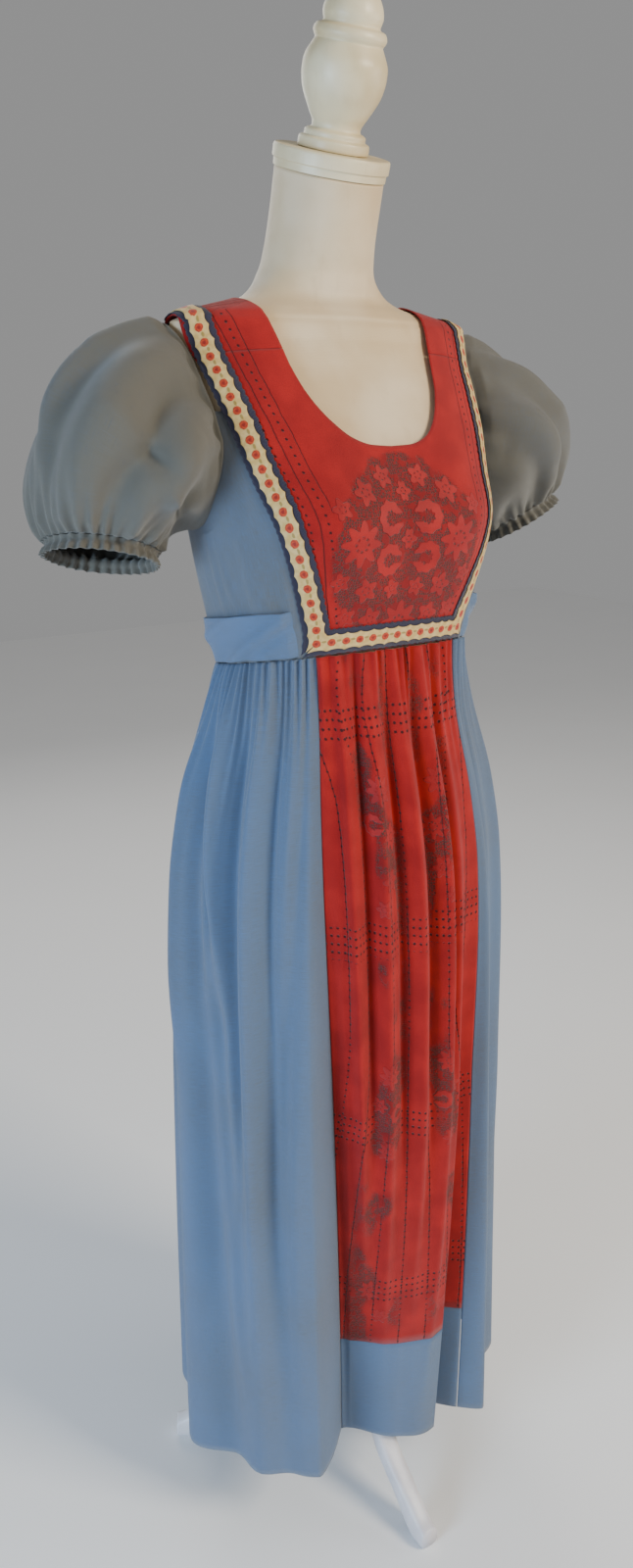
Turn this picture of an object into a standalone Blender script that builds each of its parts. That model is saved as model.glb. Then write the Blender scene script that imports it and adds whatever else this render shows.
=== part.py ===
"""Maxi dress with puff sleeves, worn by a limbless dress form on a three-legged stand.

Units are metres, +Z is up and the dress faces -Y, so the wearer's right side is at -X. Heights are
measured from the floor. The form's surface is one formula, a superellipse at each height, and the
bodice, trims and sash are grids of points on it, moved out by each piece's own clearance.
"""

import math
from collections import namedtuple

import bmesh
import bpy
import numpy as np

# Thicknesses and clearances
CLOTH_WALL = 0.0016
TRIM_WALL = 0.0010
SEAM_GAP = 0.0004
BODICE_LIFT = 0.0010
FORM_INSET = 0.0045
SLEEVE_LIFT = BODICE_LIFT + CLOTH_WALL + 0.0006
SASH_LIFT = BODICE_LIFT + CLOTH_WALL + 0.0020
BRAID_LIFT = BODICE_LIFT + CLOTH_WALL + 0.0030
RIBBON_LIFT = BRAID_LIFT + TRIM_WALL + 0.0016

# The whole is moved by this much, so that its box is centred over the origin
PLACE_X, PLACE_Y = -0.0062, 0.0524

# Bodice
SHOULDER_SEAM = 1.4846
STRAP_SEAM = 1.410
SLEEVE_MEETS_TRIM = 1.357
WAIST_AT_AXIS = 1.101
WAIST_SLOPE = 0.19
TRIM_CORNER_X = 0.0875
TRIM_ABOVE_WAIST = 0.0145
BRAID_WIDTH = 0.028
RIBBON_WIDTH = 0.017
STRAP_UNDER_TRIM = 0.012
SASH_WIDTH = 0.047

# Skirt
HEM_Z = 0.105
GATHER_DEPTH = 0.0044
GATHER_FADE = 0.075

# Sleeve and cuff
SLEEVE_COLUMNS = 32
CUFF_COLUMNS = 64
CUFF_RADIUS = 0.0525
CUFF_HEIGHT = 0.014

# Form and stand
FORM_BOTTOM = 0.78
NECK_TILT = math.radians(17.5)
NECK_TOP = (-0.0150, 1.5820)
CAP_HEIGHT = 0.020
CAP_RADIUS = 0.0585
STAND_Y = -0.035
POLE_RADIUS = 0.014
HUB_TOP = 0.290
HUB_RADIUS = 0.030

# The form's sections: a superellipse of this power at each height
BodyRing = namedtuple("BodyRing", "height half_width half_depth middle power")
BODY = (
    BodyRing(0.780, 0.140, 0.098, -0.035, 2.3),
    BodyRing(0.870, 0.157, 0.108, -0.035, 2.3),
    BodyRing(0.960, 0.144, 0.099, -0.035, 2.2),
    BodyRing(1.045, 0.122, 0.088, -0.036, 2.1),
    BodyRing(1.130, 0.137, 0.101, -0.036, 2.7),
    BodyRing(1.190, 0.149, 0.112, -0.037, 2.7),
    BodyRing(1.250, 0.160, 0.119, -0.036, 2.6),
    BodyRing(1.300, 0.168, 0.110, -0.025, 2.6),
    BodyRing(1.335, 0.173, 0.104, -0.016, 2.6),
    BodyRing(1.375, 0.178, 0.0925, -0.0055, 2.4),
    BodyRing(1.405, 0.180, 0.082, 0.000, 2.1),
    BodyRing(1.430, 0.1815, 0.066, -0.004, 1.8),
    BodyRing(1.440, 0.1800, 0.058, -0.007, 1.65),
    BodyRing(1.447, 0.1640, 0.053, -0.008, 1.6),
    BodyRing(1.455, 0.1320, 0.052, -0.003, 1.6),
    BodyRing(1.4625, 0.1020, 0.052, 0.004, 1.7),
    BodyRing(1.472, 0.0810, 0.055, 0.010, 1.9),
    BodyRing(1.487, 0.0660, 0.0565, 0.011, 2.0),
    BodyRing(1.505, 0.0595, 0.0565, 0.006, 2.0),
    BodyRing(1.530, 0.0565, 0.0560, -0.001, 2.0),
    BodyRing(1.555, 0.0555, 0.0555, -0.008, 2.0),
    BodyRing(1.582, 0.0550, 0.0550, -0.0150, 2.0),
)
BUST_SWELL, BUST_X, BUST_Z, BUST_WIDE, BUST_TALL = 0.016, 0.080, 1.258, 0.055, 0.060

# Where the path up the front turns over the shoulder
TURN_Z, TURN_RADIUS, PIVOT_Y, CORE_Z = 1.400, 0.050, 0.002, 1.380

# Middle of the trim: distance from the centre at each place on the path
TrimRow = namedtuple("TrimRow", "path x")
TRIM_LINE = (
    TrimRow(1.100, 0.0875), TrimRow(1.141, 0.0885), TrimRow(1.180, 0.099), TrimRow(1.215, 0.110),
    TrimRow(1.250, 0.121), TrimRow(1.300, 0.1335), TrimRow(1.355, 0.1445), TrimRow(1.400, 0.153),
    TrimRow(1.440, 0.159), TrimRow(1.4846, 0.164),
)
TRIM_STATIONS = (1.160, 1.180, 1.205, 1.230, 1.255, 1.280, 1.305, 1.330, 1.357, 1.385, 1.410)
STRAP_STATIONS = (1.410, 1.4225, 1.435, 1.4475, 1.460, 1.4725, 1.4846)

# Front scoop from its lowest point up to the strap seam, and the strap's inner edge above it
NeckRow = namedtuple("NeckRow", "x path")
FRONT_NECK = (
    NeckRow(0.0, 1.324), NeckRow(0.024, 1.3255), NeckRow(0.044, 1.332), NeckRow(0.060, 1.345),
    NeckRow(0.072, 1.361), NeckRow(0.081, 1.380), NeckRow(0.089, 1.410),
)
STRAP_INNER = (NeckRow(0.089, 1.410), NeckRow(0.096, 1.440), NeckRow(0.103, 1.4846))
BACK_NECK = (
    NeckRow(0.0, 1.551), NeckRow(0.030, 1.548), NeckRow(0.058, 1.540), NeckRow(0.078, 1.525),
    NeckRow(0.095, 1.505), NeckRow(0.103, 1.4846),
)

# Armhole, seen from the side
ArmholeRow = namedtuple("ArmholeRow", "height front back")
ARMHOLE_TOP = ArmholeRow(1.434, -0.004, -0.004)
ARMHOLE = (
    ArmholeRow(1.427, -0.014, 0.012), ArmholeRow(1.412, -0.024, 0.030), ArmholeRow(1.395, -0.034, 0.045),
    ArmholeRow(1.375, -0.047, 0.055), ArmholeRow(1.350, -0.061, 0.063), ArmholeRow(1.320, -0.072, 0.066),
    ArmholeRow(1.290, -0.070, 0.062), ArmholeRow(1.266, -0.055, 0.048), ArmholeRow(1.250, -0.033, 0.027),
)
ARMHOLE_BOTTOM = ArmholeRow(1.244, -0.003, -0.003)

# Sleeves: the cuff's middle, how its plane rises outwards and forwards, and how full the cap stands
Sleeve = namedtuple("Sleeve", "name side cuff_x cuff_z rise_out rise_front cap_angle cap_reach fullness")
SLEEVES = (
    Sleeve("right", -1, 0.258, 1.231, 0.25, 0.26, 13.0, 0.088, 0.093),
    Sleeve("left", 1, 0.272, 1.243, 0.48, 0.26, 4.0, 0.084, 0.098),
)
SLEEVE_STATIONS = (0.0, 0.05, 0.13, 0.27, 0.43, 0.60, 0.76, 0.90, 1.0)

# The skirt's plain sections
SkirtRing = namedtuple("SkirtRing", "height half_width half_depth")
SKIRT = (
    SkirtRing(0.105, 0.208, 0.172), SkirtRing(0.330, 0.208, 0.171), SkirtRing(0.480, 0.207, 0.169),
    SkirtRing(0.620, 0.206, 0.166), SkirtRing(0.760, 0.204, 0.162), SkirtRing(0.870, 0.198, 0.154),
    SkirtRing(0.955, 0.184, 0.140), SkirtRing(1.050, 0.158, 0.117), SkirtRing(1.130, 0.141, 0.103),
)
SKIRT_MIDDLE = -0.035

# The skirt's large folds: the angle where each starts at the waist and ends at the hem, from the
# front and growing to the wearer's left, and how far it stands out half way down and at the hem
Fold = namedtuple("Fold", "waist hem reach_middle reach_hem")
FOLDS = (
    Fold(-44.0, -28.0, -0.034, -0.074),
    Fold(-37.0, -22.0, -0.022, -0.071),
    Fold(-5.0, 1.0, -0.004, -0.032),
    Fold(27.0, 18.7, 0.003, -0.011),
    Fold(35.0, 29.0, -0.020, -0.046),
    Fold(44.0, 33.5, -0.006, -0.004),
    Fold(48.0, 37.0, 0.010, 0.027),
    Fold(60.0, 53.0, -0.007, -0.006),
    Fold(73.0, 69.0, 0.012, 0.028),
    Fold(88.0, 86.0, -0.008, -0.010),
    Fold(104.0, 101.0, 0.010, 0.016),
    Fold(121.0, 119.0, -0.009, -0.015),
    Fold(138.0, 137.0, 0.009, 0.015),
    Fold(155.0, 155.0, -0.009, -0.016),
    Fold(172.0, 173.0, 0.007, 0.012),
    Fold(189.0, 190.0, -0.008, -0.014),
    Fold(206.0, 206.0, 0.009, 0.015),
    Fold(223.0, 222.0, -0.009, -0.014),
    Fold(240.0, 238.0, 0.008, 0.012),
    Fold(256.0, 254.0, -0.008, -0.011),
    Fold(272.0, 271.0, 0.010, 0.012),
    Fold(286.0, 286.5, -0.008, -0.017),
    Fold(298.0, 298.5, 0.004, -0.004),
    Fold(307.0, 309.0, -0.006, -0.013),
    Fold(314.0, 321.0, 0.006, -0.008),
)
SkirtPanel = namedtuple("SkirtPanel", "name start end columns")
FRONT = SkirtPanel("skirt_front", -44.0, 44.0, 28)
SIDE_LEFT = SkirtPanel("skirt_side_left", 44.0, 104.0, 36)
BACK_LEFT = SkirtPanel("skirt_back_left", 104.0, 180.0, 30)
BACK_RIGHT = SkirtPanel("skirt_back_right", 180.0, 256.0, 30)
SIDE_RIGHT = SkirtPanel("skirt_side_right", 256.0, 316.0, 36)
SKIRT_PANELS = (FRONT, SIDE_LEFT, BACK_LEFT, BACK_RIGHT, SIDE_RIGHT)
GATHERED_STATIONS = (0.0, 0.022, 0.065)
PLAIN_STATIONS = (0.125, 0.25, 0.40, 0.56, 0.71, 0.845, 1.0)

# Bow at the back
KNOT_HALF_WIDTH, KNOT_HEIGHT, KNOT_DEPTH = 0.0140, 0.030, 0.018
BOW_Z = 1.112
LOOP_REACH, LOOP_DEPTH = 0.074, 0.016
LOOP_ROOT_HALF, LOOP_HALF = 0.011, 0.024
TAIL_COLUMNS, TAIL_END = 8.0, 0.36

# Colours as linear RGB, with roughness
BLUE = ((0.105, 0.165, 0.245), 0.75)
RED = ((0.330, 0.012, 0.010), 0.80)
NAVY = ((0.020, 0.017, 0.040), 0.70)
CREAM = ((0.800, 0.640, 0.330), 0.60)
FORM_COVER = ((0.780, 0.680, 0.520), 0.55)
PAINT = ((0.800, 0.740, 0.620), 0.40)


def clear_scene():
    for item in list(bpy.data.objects):
        bpy.data.objects.remove(item, do_unlink=True)


def monotone(xs, ys, x):
    """Monotone cubic curve through the points (xs, ys), level beyond its ends."""
    xs, ys = np.asarray(xs, float), np.asarray(ys, float)
    x = np.clip(x, xs[0], xs[-1])
    step = np.diff(xs)
    rise = np.diff(ys) / step
    slope = np.zeros_like(ys)
    slope[0], slope[-1] = rise[0], rise[-1]
    same = rise[:-1] * rise[1:] > 0
    near, far = 2 * step[1:] + step[:-1], step[1:] + 2 * step[:-1]
    safe = np.where(same, rise[:-1], 1.0), np.where(same, rise[1:], 1.0)
    slope[1:-1] = np.where(same, (near + far) / (near / safe[0] + far / safe[1]), 0.0)
    i = np.clip(np.searchsorted(xs, x, side="right") - 1, 0, len(step) - 1)
    t = (x - xs[i]) / step[i]
    start, end = ys[i], ys[i + 1]
    return (
        start * (1 + 2 * t) * (1 - t) ** 2 + end * t * t * (3 - 2 * t)
        + step[i] * (slope[i] * t * (1 - t) ** 2 - slope[i + 1] * t * t * (1 - t))
    )


def column(table, name):
    return [getattr(row, name) for row in table]


def body_at(name, z):
    """One column of the form's table at the heights z."""
    return monotone(column(BODY, "height"), column(BODY, name), z)


def body_value(p):
    """Below 0 inside the form and 0 on its surface."""
    x, z = np.abs(p[..., 0]), p[..., 2]
    deep = body_at("half_depth", z)
    y = p[..., 1] - body_at("middle", z)
    swell = BUST_SWELL * np.exp(-(((x - BUST_X) / BUST_WIDE) ** 2) - ((z - BUST_Z) / BUST_TALL) ** 2)
    deep = np.where(y < 0, deep + swell, deep)
    power = body_at("power", z)
    return (x / body_at("half_width", z)) ** power + (np.abs(y) / deep) ** power - 1


def stack(x, y, z):
    return np.stack(np.broadcast_arrays(x, y, z), axis=-1).astype(float)


def unit(v):
    return v / np.linalg.norm(v, axis=-1, keepdims=True)


def hit(origin, direction, reach=0.4):
    """Where rays from inside the form leave it, by halving the interval."""
    direction = unit(direction)
    near = np.zeros(origin.shape[:-1])
    far = np.full(origin.shape[:-1], reach)
    for _ in range(40):
        middle = (near + far) / 2
        inside = body_value(origin + direction * middle[..., None]) < 0
        near, far = np.where(inside, middle, near), np.where(inside, far, middle)
    return origin + direction * near[..., None]


def outward(p, step=1e-4):
    """The form's outward normal at the points p."""
    axes = np.eye(3) * step
    slope = [body_value(p + axis) - body_value(p - axis) for axis in axes]
    return unit(np.stack(slope, axis=-1))


def lifted(p, lift):
    return p + outward(p) * lift


def over_shoulder(x, path):
    """The surface at x and at a place on the path up the front, over the shoulder and down the back."""
    x, path = np.broadcast_arrays(np.asarray(x, float), np.asarray(path, float))
    turn = np.clip((path - TURN_Z) / TURN_RADIUS, 0, math.pi)
    z = np.where(path < TURN_Z, path, TURN_Z - np.maximum(path - TURN_Z - math.pi * TURN_RADIUS, 0))
    return hit(stack(x, PIVOT_Y, z), stack(0 * x, -np.cos(turn), np.sin(turn)))


def project(p):
    """Points near the surface, moved onto it along rays from the form's axis."""
    z = np.minimum(p[..., 2], CORE_Z)
    origin = stack(0.0, body_at("middle", z), z)
    return hit(origin, p - origin)


def around(angle, z):
    """The surface at an angle in radians from the front, growing to the wearer's left, and height z."""
    angle, z = np.broadcast_arrays(np.asarray(angle, float), np.asarray(z, float))
    origin = stack(0.0, body_at("middle", z), z)
    return hit(origin, stack(np.sin(angle), -np.cos(angle), 0.0))


def waist_height(y):
    return WAIST_AT_AXIS - WAIST_SLOPE * y


def waist_around(angle):
    """The empire seam at these angles."""
    z = np.full(np.shape(angle), WAIST_AT_AXIS)
    for _ in range(8):
        z = waist_height(around(angle, z)[..., 1])
    return around(angle, z)


def waist_front(x):
    """The empire seam's place on the front path at x."""
    path = np.full(np.shape(x), WAIST_AT_AXIS)
    for _ in range(8):
        path = waist_height(over_shoulder(x, path)[..., 1])
    return path


def trim_x(path):
    return monotone(column(TRIM_LINE, "path"), column(TRIM_LINE, "x"), path)


def seam_x(path):
    """Edge of the red cloth: the trim's middle, and near the trim's outer edge above the sleeve."""
    rise = np.clip((np.asarray(path) - SLEEVE_MEETS_TRIM) / (STRAP_SEAM - SLEEVE_MEETS_TRIM), 0, 1)
    return trim_x(path) + STRAP_UNDER_TRIM * rise * rise * (3 - 2 * rise)


def resample(points, count, closed=False):
    """The same line as count points, evenly spaced along it."""
    points = np.asarray(points, float)
    if closed:
        points = np.vstack([points, points[:1]])
    length = np.concatenate([[0], np.cumsum(np.linalg.norm(np.diff(points, axis=0), axis=1))])
    want = np.linspace(0, length[-1], count + 1)[:-1] if closed else np.linspace(0, length[-1], count)
    return np.stack([np.interp(want, length, points[:, k]) for k in range(points.shape[1])], axis=1)


def closed_spline(points, per_span=6):
    """Catmull-Rom curve through a closed ring of points."""
    points = np.asarray(points, float)
    before, after = np.roll(points, 1, axis=0), np.roll(points, -1, axis=0)
    after2 = np.roll(points, -2, axis=0)
    t = (np.arange(per_span) / per_span)[None, :, None]
    a, b, c, d = (q[:, None, :] for q in (before, points, after, after2))
    curve = 0.5 * (2 * b + (c - a) * t + (2 * a - 5 * b + 4 * c - d) * t**2 + (3 * b - a - 3 * c + d) * t**3)
    return curve.reshape(-1, points.shape[1])


def mirrored(p):
    return p * np.array([-1.0, 1.0, 1.0])


def material(name, finish):
    colour, roughness = finish
    made = bpy.data.materials.new(name)
    made.use_nodes = True
    shader = made.node_tree.nodes["Principled BSDF"]
    shader.inputs["Base Color"].default_value = (*colour, 1.0)
    shader.inputs["Roughness"].default_value = roughness
    shader.inputs["Metallic"].default_value = 0.0
    return made


def add_object(name, mesh, finish):
    """Links a mesh as a named object with its own material, smooth where the faces are nearly level."""
    item = bpy.data.objects.new(name, mesh)
    PARTS.objects.link(item)
    item.parent = PLACE
    mesh.materials.append(material(name, finish))
    mesh.shade_smooth()
    mesh.set_sharp_from_angle(angle=math.radians(50))
    return item


def mesh_of(name, points, faces):
    mesh = bpy.data.meshes.new(name)
    mesh.from_pydata(np.asarray(points).reshape(-1, 3).tolist(), [], faces)
    return mesh


def drawn_in(grid, gap=SEAM_GAP / 2):
    """The grid with all four edges moved in by half of a seam's gap."""
    grid = grid.copy()
    for edge, inner in ((0, 1), (-1, -2)):
        grid[edge] += unit(grid[inner] - grid[edge]) * gap
        grid[:, edge] += unit(grid[:, inner] - grid[:, edge]) * gap
    return grid


def cloth(name, grid, finish, wall=CLOTH_WALL, away_from=(0.0, -0.03, 1.30)):
    """An open grid of points with a Solidify wall that grows away from the given point."""
    rows, columns = grid.shape[:2]
    across, down = grid[:-1, 1:] - grid[:-1, :-1], grid[1:, :-1] - grid[:-1, :-1]
    facing = np.cross(across, down) * (grid[:-1, :-1] - np.array(away_from))
    turn = facing.sum() < 0
    faces = []
    for i in range(rows - 1):
        for j in range(columns - 1):
            face = [i * columns + j, i * columns + j + 1, (i + 1) * columns + j + 1, (i + 1) * columns + j]
            faces.append(face[::-1] if turn else face)
    item = add_object(name, mesh_of(name, grid, faces), finish)
    solid = item.modifiers.new("wall", "SOLIDIFY")
    solid.thickness = wall
    solid.offset = 1.0
    return item


def panel(inner, outer, steps):
    """Surface points between two edges that have as many points as each other."""
    share = np.linspace(0, 1, steps + 1)[:, None, None]
    return project(inner[None] * (1 - share) + outer[None] * share)


def loft(name, inside, outside, finish, closed=False):
    """A wall through rings of inner and outer points. A ring may have half as many spans as the last."""
    points = np.concatenate([*inside, *outside])
    starts = np.cumsum([0] + [len(ring) for ring in [*inside, *outside]])
    count = len(inside)
    faces = []

    def index(ring, place):
        size = starts[ring + 1] - starts[ring]
        return int(starts[ring] + (place % size if closed else place))

    for layer in (0, count):
        for k in range(layer, layer + count - 1):
            size, next_size = (starts[r + 1] - starts[r] for r in (k, k + 1))
            spans = size if closed else size - 1
            if size == next_size:
                for j in range(spans):
                    faces.append((index(k, j), index(k, j + 1), index(k + 1, j + 1), index(k + 1, j)))
                continue
            for j in range(spans // 2):
                left, right = index(k + 1, j), index(k + 1, j + 1)
                faces.append((index(k, 2 * j), index(k, 2 * j + 1), left))
                faces.append((index(k, 2 * j + 1), right, left))
                faces.append((index(k, 2 * j + 1), index(k, 2 * j + 2), right))
    for k in (0, count - 1):
        spans = (starts[k + 1] - starts[k]) - (0 if closed else 1)
        for j in range(spans):
            faces.append((index(k, j), index(k, j + 1), index(k + count, j + 1), index(k + count, j)))
    if not closed:
        for k in range(count - 1):
            for end in (0, -1):
                here, there = (starts[r + 1] - starts[r] - 1 if end else 0 for r in (k, k + 1))
                a, b = index(k, here), index(k + 1, there)
                faces.append((a, b, index(k + 1 + count, there), index(k + count, here)))
    mesh = mesh_of(name, points, faces)
    work = bmesh.new()
    work.from_mesh(mesh)
    bmesh.ops.recalc_face_normals(work, faces=work.faces)
    work.to_mesh(mesh)
    work.free()
    return add_object(name, mesh, finish)


def turned(name, profile, finish, steps=24):
    """A turned piece: (radius, height) points from the top down, spun round Z and closed."""
    mesh = bpy.data.meshes.new(name)
    points = [(radius, 0.0, height) for radius, height in profile]
    mesh.from_pydata(points, [(i, i + 1) for i in range(len(points) - 1)], [])
    item = add_object(name, mesh, finish)
    screw = item.modifiers.new("turn", "SCREW")
    screw.steps = screw.render_steps = steps
    screw.use_merge_vertices = True
    screw.merge_threshold = 0.00005
    screw.use_smooth_shade = True
    return item


# Bodice


def front_outline():
    """Outer edge of the yoke on the wearer's left: from the strap seam down to the middle of the waist."""
    side = np.array(TRIM_STATIONS[::-1] + (1.1405,))
    corner = float(waist_front(np.array([TRIM_CORNER_X]))[0])
    side = np.append(side, corner)
    down = over_shoulder(seam_x(side), side)
    along = np.linspace(TRIM_CORNER_X, 0, 5)[1:]
    return np.vstack([down, over_shoulder(along, waist_front(along))])


def whole(half):
    """A left half that ends at the middle, continued by its mirror image."""
    return np.vstack([half, mirrored(half[-2::-1])])


def make_yoke():
    outer = front_outline()
    fine = np.linspace(0, 1, 60)
    rows = np.array([(row.x, row.path) for row in FRONT_NECK[::-1]])
    place = np.linspace(0, 1, len(rows))
    neck = over_shoulder(np.interp(fine, place, rows[:, 0]), np.interp(fine, place, rows[:, 1]))
    inner = resample(neck, len(outer))
    grid = panel(whole(inner), whole(outer), 6)
    cloth("front_yoke", lifted(drawn_in(grid), BODICE_LIFT), RED)


def make_straps():
    path = np.array(STRAP_STATIONS)
    inner = monotone(column(STRAP_INNER, "path"), column(STRAP_INNER, "x"), path)
    share = np.linspace(0, 1, 7)[:, None]
    grid = over_shoulder(inner * (1 - share) + seam_x(path) * share, path)
    for end in (0, -1):
        grid[:, end] = project(grid[0, end] * (1 - share) + grid[-1, end] * share)
    grid = lifted(drawn_in(grid), BODICE_LIFT)
    cloth("strap_left", grid, RED)
    cloth("strap_right", mirrored(grid), RED)


def armhole_loop(count):
    """The left armhole as a closed ring on the surface, from its top round by the front."""
    front = [(row.front, row.height) for row in ARMHOLE]
    back = [(row.back, row.height) for row in ARMHOLE[::-1]]
    ring = [(ARMHOLE_TOP.front, ARMHOLE_TOP.height), *front,
            (ARMHOLE_BOTTOM.front, ARMHOLE_BOTTOM.height), *back]
    side = resample(closed_spline(ring), count, closed=True)
    origin = stack(0.0, side[:, 0], side[:, 1])
    return hit(origin, stack(np.ones(len(side)), 0.0, 0.0))


def side_seam(count):
    """The left side seam from the waist up to the armhole's lowest point."""
    low = waist_around(np.array([math.pi / 2]))[0]
    high = armhole_loop(72)
    high = high[np.argmin(high[:, 2])]
    share = np.linspace(0, 1, count)[:, None]
    return project(low * (1 - share) + high * share)


def make_side_fronts():
    loop = armhole_loop(72)
    lowest = int(np.argmin(loop[:, 2]))
    front = loop[: lowest + 1][::-1]
    front = front[front[:, 2] < SLEEVE_MEETS_TRIM]
    outer = np.vstack([side_seam(5), front[1:]])
    corner = float(waist_front(np.array([TRIM_CORNER_X]))[0])
    path = np.array((corner, 1.1405) + TRIM_STATIONS[:9])
    inner = over_shoulder(seam_x(path), path)
    outer = resample(outer, len(path))
    grid = panel(inner, outer, 6)
    middle = body_at("middle", grid[1:, 0, 2])
    grid[1:, 0] = waist_around(np.arctan2(grid[1:, 0, 0], middle - grid[1:, 0, 1]))
    grid = lifted(drawn_in(grid), BODICE_LIFT)
    cloth("side_front_left", grid, BLUE)
    cloth("side_front_right", mirrored(grid), BLUE)


def make_back():
    loop = armhole_loop(72)
    lowest = int(np.argmin(loop[:, 2]))
    shoulder = over_shoulder(seam_x(SHOULDER_SEAM), SHOULDER_SEAM)
    edge = resample(np.vstack([shoulder[None], loop[lowest:][::-1][3:]]), 10)
    seam = side_seam(4)[::-1]
    across = waist_around(np.linspace(math.pi / 2, math.pi, 8))
    outer = np.vstack([edge, seam[1:], across[1:]])
    rows = np.array([(row.x, row.path) for row in BACK_NECK[::-1]])
    place, fine = np.linspace(0, 1, len(rows)), np.linspace(0, 1, 60)
    neck = over_shoulder(np.interp(fine, place, rows[:, 0]), np.interp(fine, place, rows[:, 1]))
    inner = resample(neck, len(outer))
    grid = panel(whole(inner), whole(outer), 9)
    cloth("bodice_back", lifted(drawn_in(grid), BODICE_LIFT), BLUE)


# Trims


def across_path(points, normals, half, lift):
    """Points on the surface at half a strip's width on both sides of a line on it."""
    ahead = unit(np.gradient(points, axis=0))
    aside = unit(np.cross(normals, ahead))
    rows = [project(points + aside * share * half) for share in (-1, 0, 1)]
    return np.stack([lifted(row, lift) for row in rows], axis=1)


def trim_corner(half, lift):
    """The left corner's mitre: the trim's outer, middle and inner points on the surface."""
    low = float(waist_front(np.array([TRIM_CORNER_X]))[0]) + TRIM_ABOVE_WAIST
    side, up = 0.80 * half, half
    rows = over_shoulder(trim_x(low) + np.array([side, 0.0, -side]), low + np.array([-up, 0.0, up]))
    return lifted(rows, lift)


def make_trim(kind, width, lift, finish):
    half = width / 2
    corner = trim_corner(half, lift)
    path = np.array(TRIM_STATIONS[:-1] + STRAP_STATIONS)
    middle = over_shoulder(trim_x(path), path)
    upright = across_path(middle, outward(middle), half, lift)
    if np.linalg.norm(upright[0, 0] - corner[0]) > np.linalg.norm(upright[0, 2] - corner[0]):
        upright = upright[:, ::-1]
    upright = np.concatenate([corner[None], upright])
    drawn = drawn_in(upright)
    cloth(f"{kind}_left", drawn, finish, TRIM_WALL)
    cloth(f"{kind}_right", mirrored(drawn), finish, TRIM_WALL)

    x = np.linspace(-0.062, 0.062, 7)
    low = waist_front(x) + TRIM_ABOVE_WAIST
    rows = [lifted(over_shoulder(x, low + offset), lift) for offset in (-half, 0.0, half)]
    across = np.stack(rows, axis=1)
    ends = corner[None]
    grid = np.concatenate([mirrored(ends), across, ends])
    cloth(f"{kind}_bottom", drawn_in(grid), finish, TRIM_WALL)


# Sleeves


def by_place(turn, top, sides, bottom):
    """A value that changes round the sleeve from its top by its sides to its bottom."""
    c = np.cos(turn)
    return sides + (top - bottom) / 2 * c + ((top + bottom) / 2 - sides) * c * c


def cuff_frame(sleeve):
    """The cuff's middle, and its directions outwards, forwards and up its axis."""
    centre = np.array([sleeve.side * sleeve.cuff_x, -0.003, sleeve.cuff_z])
    out = unit(np.array([sleeve.side, 0.0, sleeve.rise_out]))
    forward = np.array([0.0, -1.0, sleeve.rise_front])
    forward = unit(forward - out * forward.dot(out))
    up = np.cross(out, forward)
    return centre, out, forward, up * np.sign(up[2])


def ring_normals(rows, centre):
    """Outward normals of a stack of closed rings."""
    along = np.roll(rows, -1, axis=1) - np.roll(rows, 1, axis=1)
    down = np.gradient(rows, axis=0)
    normal = unit(np.cross(along, down))
    sign = np.sign((normal * (rows - centre)).sum())
    return normal * sign


def make_sleeve(sleeve):
    start = armhole_loop(SLEEVE_COLUMNS)
    normal = outward(start)
    if sleeve.side < 0:
        start, normal = mirrored(start), mirrored(normal)
    turn = np.arange(SLEEVE_COLUMNS) * 2 * math.pi / SLEEVE_COLUMNS
    centre = start.mean(axis=0)
    radial = (start - centre) * np.array([0.0, 1.0, 1.0])
    radial = unit(radial)
    side = np.array([sleeve.side, 0.0, 0.0])
    lean = np.radians(by_place(turn, sleeve.cap_angle, 42.0, 8.0))[:, None]
    leave = side * np.cos(lean) + radial * np.sin(lean)

    middle, out, forward, up = cuff_frame(sleeve)
    ring = out * np.cos(turn)[:, None] + forward * np.sin(turn)[:, None]
    spread = np.radians(by_place(turn, 34.0, 58.0, 25.0))[:, None]
    arrive = up * np.cos(spread) + ring * np.sin(spread)

    a = start + normal * SLEEVE_LIFT
    b = a + leave * by_place(turn, sleeve.cap_reach, 0.075, 0.022)[:, None]
    d = middle + ring * CUFF_RADIUS
    c = d + arrive * by_place(turn, sleeve.fullness, 0.078, 0.026)[:, None]
    s = np.array(SLEEVE_STATIONS)[:, None, None]
    rows = a * (1 - s) ** 3 + 3 * b * s * (1 - s) ** 2 + 3 * c * s * s * (1 - s) + d * s**3

    hub = rows.mean(axis=(0, 1))
    face = ring_normals(rows, hub)
    wave = (1 + np.cos(np.arange(SLEEVE_COLUMNS) * math.pi)) / 2
    over_cap = np.clip((np.cos(turn) + 0.45) / 0.5, 0, 1)
    s = s[..., 0]
    depth = 0.0042 * np.exp(-((s / 0.12) ** 2)) * over_cap + 0.0045 * np.exp(-(((1 - s) / 0.13) ** 2))
    rows = rows + face * (wave * depth)[..., None]
    rows[-1] = middle + ring * (CUFF_RADIUS + 0.0045 * wave)[:, None]
    outside = rows + ring_normals(rows, hub) * CLOTH_WALL
    outside[-1] = rows[-1] + ring * CLOTH_WALL
    loft(f"sleeve_{sleeve.name}", list(rows), list(outside), BLUE, closed=True)


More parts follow.
